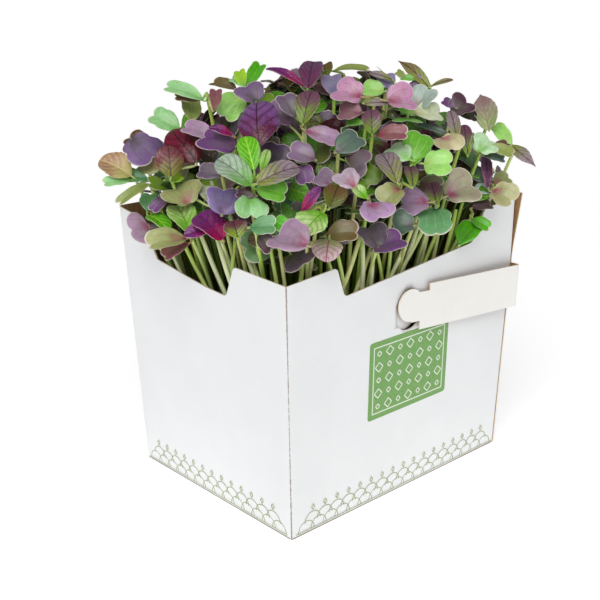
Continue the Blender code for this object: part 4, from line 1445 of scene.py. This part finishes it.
def add_front_leaf(shape, leaf, head, rising, depth, generator):
    """Sets a leaf so that its foot, tip and width meet its pixels, facing between camera and sky.

    A leaf that looks far too short for its width is tipped towards or away from the camera.
    """
    seed = leaf.kind == "seed"
    foot = at_depth(leaf.foot, depth - leaf.near - FRONT_REACH)
    to_camera = unit(CAMERA_PLACE - foot)
    normal = unit(to_camera * leaf.face + np.array((0, 0, 1)) * (1 - leaf.face ** 2) ** 0.5)
    normal = unit(normal + generator.normal(0, 0.16, 3))
    tip = on_plane(leaf.tip, foot, normal)
    seen_width = leaf.width / picture_scale(foot)
    length = np.linalg.norm(tip - foot)
    widest = 2.3 if seed else 1.3
    if seen_width > length * widest:
        length = seen_width / (widest * 0.85)
        tip = reach_tip(leaf.tip, foot, length, leaf.tip[1] > leaf.foot[1])
    along = unit(tip - foot)
    aside = unit(np.cross(normal, along))
    normal = np.cross(along, aside)
    width = seen_width / max(math.hypot(aside @ RIGHT, aside @ UP), 0.45)
    chance = generator.uniform(0, 1, 3) * (6, 1, 6)
    if seed:
        grid = seed_blade(length, width, leaf.fold, leaf.curl, leaf.look, chance)
    else:
        grid = true_blade(length, width, leaf.fold, leaf.curl, leaf.look, chance, point=leaf.point)
    place_blade(shape, grid, foot, tip, normal)
    stalk_tip = skin_tint(LOOKS[leaf.look][1]) * 0.5 + np.array(linear("#B9CF7C")) * 0.5
    add_stalk(shape, head, rising, foot, along, (stem_tints(generator)[1], stalk_tip))


def root_of(head):
    """Where a plant's stem leaves the medium: nearer to the carton's middle than its head."""
    return np.append(head[:2] * ROOT_SHRINK, MEDIUM_TOP + ROOT_LIFT)


def add_front_plant(shape, plant, generator):
    """A plant that the camera sees: a stem to its hub, and stalks from there to each of its leaves."""
    if plant.seedling:
        depth = np.dot(np.array(HEADS[plant.seedling - 1]) - CAMERA_PLACE, FORWARD)
    else:
        depth = np.dot(on_canopy(plant.hub) - CAMERA_PLACE, FORWARD) + 3
    head = at_depth(plant.hub, depth + 2)
    low, high = stem_tints(generator)
    # Painted shade: the stem's foot is darkened, and it brightens towards its head
    shade_painted = tuple(np.array(low) * STEM_PAINTED_SHADE)
    rising = add_stem(shape, root_of(head), head, (shade_painted, high), settings()[1].stem / MM / 2)
    for leaf in plant.leaves:
        add_front_leaf(shape, leaf, head, rising, depth, generator)


def add_front_stem(shape, stem, wall, generator):
    """A bare stem just inside a wall, through its two pixels, from the medium up among the leaves."""
    rings, level, slope_kept = 12, 90, 0.6
    inset = 3.2 + generator.uniform(0, 4)
    if wall == "left":
        plane, normal = np.array((-half_x(level) + inset, 0, level)), np.array((1.0, 0, 0))
    else:
        plane, normal = np.array((0, -half_y(level) + inset, level)), np.array((0, 1.0, 0))
    top = on_plane(stem.top, plane, normal)
    low = on_plane(stem.foot, plane, normal)
    slope = (top - low) / (top[2] - low[2])
    root = low - slope * (low[2] - MEDIUM_TOP) * slope_kept
    root[:2] = np.clip(root[:2], np.negative(ROOT_LIMIT), ROOT_LIMIT)
    root[2] = MEDIUM_TOP + ROOT_LIFT
    head = top + slope * 6 + unit(FORWARD * (1, 1, 0)) * 3
    path = cubic(root, low - slope * 4, top - slope * 2, head, rings)
    radii = generator.uniform(0.75, 1.0) * (1.05 - 0.2 * np.linspace(0, 1, rings))
    add_tube(shape, path, radii, 8, STEM, stem_values(rings, *stem_tints(generator)))


def add_inner_plant(shape, head, generator):
    """A plant among the others: a stem with a pair of seed leaves and often a young true leaf.

    Its leaves face up and away from the middle of the canopy, each turned a little at random.
    """
    # Painted shade: the stem of a plant among the others is darkened all along
    shade_painted = [tuple(np.array(tint) * STEM_PAINTED_SHADE) for tint in stem_tints(generator)]
    rising = add_stem(shape, root_of(head), head, shade_painted, 0.75, sides=6, rings=6)
    heading = generator.uniform(0, 2 * math.pi)
    looks = INNER_LOOKS[generator.integers(len(INNER_LOOKS))]
    outward = np.append((head[:2] - CANOPY_MIDDLE) / BASE_X * (1.5 if head[2] > HEIGHT + 8 else -0.4), 0)
    true_leaves = int(generator.integers(0, 3))
    # Painted shade: leaves deeper under the dome get darker tints, lightened again towards the back
    depth = canopy_height(head[0], head[1]) - head[2]
    behind = np.clip((distance_away(head[0], head[1]) - CANOPY_BACK) / BACK_FADE, 0, 1)
    shade = np.clip(1.15 - 0.05 * depth + 0.4 * behind, 0.45, 0.9 + 0.15 * behind)
    for number in range(2 + true_leaves):
        up = unit(outward + (0, 0, 0.75) + generator.normal(0, 0.3, 3))
        across = math.pi * (number if number < 2 else number - 1.5)
        turn = heading + across + generator.normal(0, 0.25)
        along = np.array((math.cos(turn), math.sin(turn), 0.15))
        along = unit(along - np.dot(along, up) * up)
        foot = head + along * generator.uniform(1.5, 3.5) + (0, 0, 0.8 * number)
        chance = generator.uniform(0, 1, 3) * (6, 1, 6)
        if number < 2:
            length = generator.uniform(7, 9)
            grid = seed_blade(length, length * 1.5, 0.22, 30, looks[0], chance, rows=7, columns=17)
        else:
            length = generator.uniform(8, 13)
            grid = true_blade(length, length * 0.72, 0.15, 55, looks[1], chance, rows=13, columns=9)
        # The painted shade scales the tints, blue most
        for key in ("tip_tint", "foot_tint", "vein_tint"):
            grid[2][key] = grid[2][key] * (shade, shade, shade * 0.9, 1)
        place_blade(shape, grid, foot, foot + along * length, up)
        add_stalk(shape, head, rising, foot, along, stem_tints(generator), 0.5, sides=5)


def leaf_materials():
    """The finishes of seed leaves, true leaves and stems, made once and shared by every plant."""
    return [bpy.data.materials.get("seed_leaf") or seed_leaf_skin(),
            bpy.data.materials.get("true_leaf") or true_leaf_skin(),
            bpy.data.materials.get("stem_skin") or stem_skin()]


def inner_heads(generator, spacing):
    """Places for the inner heads: a hexagonal grid shaken a little, lower on the side that opens forward.

    Just inside the two cut walls the heads stand low, under the front plants' leaves, but above the
    cut-outs, where stems show.
    """
    columns = np.arange(-BASE_X / 2 + 1, BASE_X / 2, spacing)
    rows = np.arange(-BASE_Y / 2 + 1, BASE_Y / 2, spacing * 0.87)
    x, y = np.meshgrid(columns, rows, indexing="ij")
    x = x + (np.arange(len(rows)) % 2) * spacing / 2
    shake, share_kept = 0.9, 0.7
    x = (x + generator.normal(0, shake, x.shape)).ravel()
    y = (y + generator.normal(0, shake, y.shape)).ravel()
    behind = np.clip((distance_away(x, y) - RISE_BACK) / BACK_FADE, 0, 1)
    z = canopy_height(x, y) - generator.uniform(7, 13, x.shape) - 6 * (1 - behind)
    from_left, from_front = x + BASE_X / 2, y + BASE_Y / 2
    left, front = from_left < LEFT_STRIP, from_front < FRONT_STRIP
    strip = left | front
    cut_out = left & (y > CUT_LEFT[0]) & (y < CUT_LEFT[1])
    cut_out |= front & (x > CUT_FRONT[0]) & (x < CUT_FRONT[1])
    low_corner = (x < CUT_FRONT[0]) & (y < CUT_LEFT[1])
    lower = generator.uniform(0, 1, x.shape)
    z = z - np.where(strip, 14 * lower, 0)
    over_cut_out, over_corner = 112 + 14 * lower, 105 + 6 * lower
    z = np.where(strip & cut_out, over_cut_out, np.where(strip & low_corner, over_corner, z))
    keep = (x < BASE_X / 2) & (y < BASE_Y / 2) & (from_left > 6) & (from_front > 5)
    keep &= ~(strip & cut_out) | (generator.uniform(0, 1, x.shape) < share_kept)
    return np.stack([x, y, z], -1)[keep]


# Stage

def add_camera(context):
    """The photo's camera, with its place, turn and lens."""
    data = bpy.data.cameras.new("photo_camera")
    data.lens = LENS_MM
    data.sensor_width = SENSOR_MM
    data.clip_start = 0.01
    camera = bpy.data.objects.new("photo_camera", data)
    axes = np.eye(4)
    axes[:3, 0], axes[:3, 1], axes[:3, 2], axes[:3, 3] = RIGHT, UP, -FORWARD, CAMERA_PLACE * MM
    camera.matrix_world = Matrix(axes.tolist())
    context.scene.collection.objects.link(camera)
    context.scene.camera = camera


def add_light(name, place, spread, strength):
    """A distant soft light from a direction towards the carton, the same over the whole floor."""
    data = bpy.data.lights.new(name, "SUN")
    data.angle = math.radians(spread)
    data.energy = strength
    light = bpy.data.objects.new(name, data)
    light.rotation_euler = (-Vector(place)).to_track_quat("-Z", "Y").to_euler()
    bpy.context.scene.collection.objects.link(light)


# Operators

class MICROGREENS_OT_carton(bpy.types.Operator):
    """Folds the die-cut board carton with its lip, floor and tongue hole"""
    bl_idname = "microgreens.carton"
    bl_label = "Carton"

    def execute(self, context):
        carton, flap = build_carton_piece()
        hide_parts("carton")
        for piece in (carton, flap):
            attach(piece, "carton")
        return {"FINISHED"}


class MICROGREENS_OT_strap(bpy.types.Operator):
    """Makes the closing strap, continuous from the lip round its fold to the round tongue"""
    bl_idname = "microgreens.strap"
    bl_label = "Closing strap"

    def execute(self, context):
        piece = build_strap_piece()
        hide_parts("closing_strap")
        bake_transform(piece)
        return {"FINISHED"}


class MICROGREENS_OT_prints(bpy.types.Operator):
    """Prints the green panel and the border round the foot"""
    bl_idname = "microgreens.prints"
    bl_label = "Prints"

    def execute(self, context):
        for piece in (build_panel_print(), build_border_print()):
            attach(piece, "carton")
        return {"FINISHED"}


class MICROGREENS_OT_tray(bpy.types.Operator):
    """Gives the growing tray its pressed pulp and the growing medium its damp peat"""
    bl_idname = "microgreens.tray"
    bl_label = "Tray and medium"

    def execute(self, context):
        for node, material in (("growing_tray", pressed_fibre()), ("growing_medium", damp_peat())):
            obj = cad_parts[node]
            for slot in obj.material_slots:
                slot.material = material
            if not obj.material_slots:
                raise RuntimeError(node + " has no material slot")
        return {"FINISHED"}


class MICROGREENS_OT_front_seedlings(bpy.types.Operator):
    """Grows the modelled seedlings and the plants between them that stand at the front and top"""
    bl_idname = "microgreens.front_seedlings"
    bl_label = "Front seedlings"

    def execute(self, context):
        generator = np.random.default_rng(context.scene.microgreens_plants.seed)
        by_number = {plant.seedling: plant for plant in FRONT_PLANTS}
        for number, head in enumerate(HEADS, 1):
            name = f"seedling_{number:02d}"
            shape = Shape()
            if number in by_number:
                add_front_plant(shape, by_number[number], generator)
            else:
                add_inner_plant(shape, np.array(head, float) - (0, 0, 3), generator)
            piece = shape.build(name + "_grown", leaf_materials(), sharp_degrees=80)
            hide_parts(name)
            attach(piece, "carton")
        shape = Shape()
        for plant in FRONT_PLANTS:
            if not plant.seedling:
                add_front_plant(shape, plant, generator)
        piece = shape.build("seedlings_between", leaf_materials(), sharp_degrees=80)
        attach(piece, "carton")
        return {"FINISHED"}


class MICROGREENS_OT_inner_seedlings(bpy.types.Operator):
    """Fills the tray behind the front plants, and sets the bare stems that show in the cut-outs"""
    bl_idname = "microgreens.inner_seedlings"
    bl_label = "Inner seedlings"

    def execute(self, context):
        plants = context.scene.microgreens_plants
        generator = np.random.default_rng(plants.seed + 1)
        heads = inner_heads(generator, plants.spacing / MM)
        groups = 4
        for group in range(groups):
            shape = Shape()
            for head in heads[group::groups]:
                add_inner_plant(shape, head, generator)
            piece = shape.build(f"inner_seedlings_{group + 1}", leaf_materials(), sharp_degrees=80)
            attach(piece, "carton")
        shape = Shape()
        for stems, wall in ((LEFT_STEMS, "left"), (RIGHT_STEMS, "front")):
            for stem in stems:
                add_front_stem(shape, stem, wall, generator)
        piece = shape.build("front_stems", leaf_materials(), sharp_degrees=80)
        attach(piece, "carton")
        return {"FINISHED"}


class MICROGREENS_OT_stage(bpy.types.Operator):
    """Sets the floor, the soft lights and the camera at the photo's angle"""
    bl_idname = "microgreens.stage"
    bl_label = "Stage"

    def execute(self, context):
        stage = context.scene.microgreens_stage
        half = stage.floor / MM / 2
        shape = Shape()
        shape.add(level_grid(half, half, 3, 3), grid_quads(3, 3))
        floor = shape.build("floor", [studio_floor()])
        add_camera(context)
        add_light("key_light", KEY_FROM, KEY_SPREAD, stage.key)
        add_light("fill_light", FILL_FROM, FILL_SPREAD, stage.fill)
        world = bpy.data.worlds.new("white_surround")
        world.use_nodes = True
        tree = world.node_tree
        seen = add(tree, "LightPath", {}, out="Is Camera Ray")
        strength = add(tree, "Mix", {0: seen, 2: stage.world, 3: WHITE_SEEN}, out=0)
        background = tree.nodes["Background"]
        background.inputs["Color"].default_value = (1, 1, 1, 1)
        tree.links.new(strength, background.inputs["Strength"])
        context.scene.world = world
        context.scene.view_settings.view_transform = "Standard"
        return {"FINISHED"}


class MICROGREENS_PT_panel(bpy.types.Panel):
    """Sizes, colours and the steps that build the carton"""
    bl_idname = "MICROGREENS_PT_panel"
    bl_label = "Microgreens"
    bl_space_type = "VIEW_3D"
    bl_region_type = "UI"
    bl_category = "Microgreens"

    def draw(self, context):
        for group in (context.scene.microgreens_carton, context.scene.microgreens_plants,
                      context.scene.microgreens_stage):
            box = self.layout.box()
            for key in group.__annotations__:
                box.prop(group, key)
        for operator in OPERATORS:
            self.layout.operator(operator.bl_idname)


OPERATORS = (
    MICROGREENS_OT_carton, MICROGREENS_OT_strap, MICROGREENS_OT_prints, MICROGREENS_OT_tray,
    MICROGREENS_OT_front_seedlings, MICROGREENS_OT_inner_seedlings, MICROGREENS_OT_stage,
)
CLASSES = (CartonSettings, PlantSettings, StageSettings) + OPERATORS + (MICROGREENS_PT_panel,)


def register():
    """Registers the classes and hangs their settings on the scene."""
    for cls in CLASSES:
        bpy.utils.register_class(cls)
    bpy.types.Scene.microgreens_carton = PointerProperty(type=CartonSettings)
    bpy.types.Scene.microgreens_plants = PointerProperty(type=PlantSettings)
    bpy.types.Scene.microgreens_stage = PointerProperty(type=StageSettings)


def unregister():
    """Takes the settings and classes away again."""
    del bpy.types.Scene.microgreens_stage
    del bpy.types.Scene.microgreens_plants
    del bpy.types.Scene.microgreens_carton
    for cls in reversed(CLASSES):
        bpy.utils.unregister_class(cls)


def main():
    """Builds everything in order."""
    register()
    bpy.ops.microgreens.carton()
    bpy.ops.microgreens.strap()
    bpy.ops.microgreens.prints()
    bpy.ops.microgreens.tray()
    bpy.ops.microgreens.front_seedlings()
    bpy.ops.microgreens.inner_seedlings()
    bpy.ops.microgreens.stage()


if __name__ == "__main__":
    main()
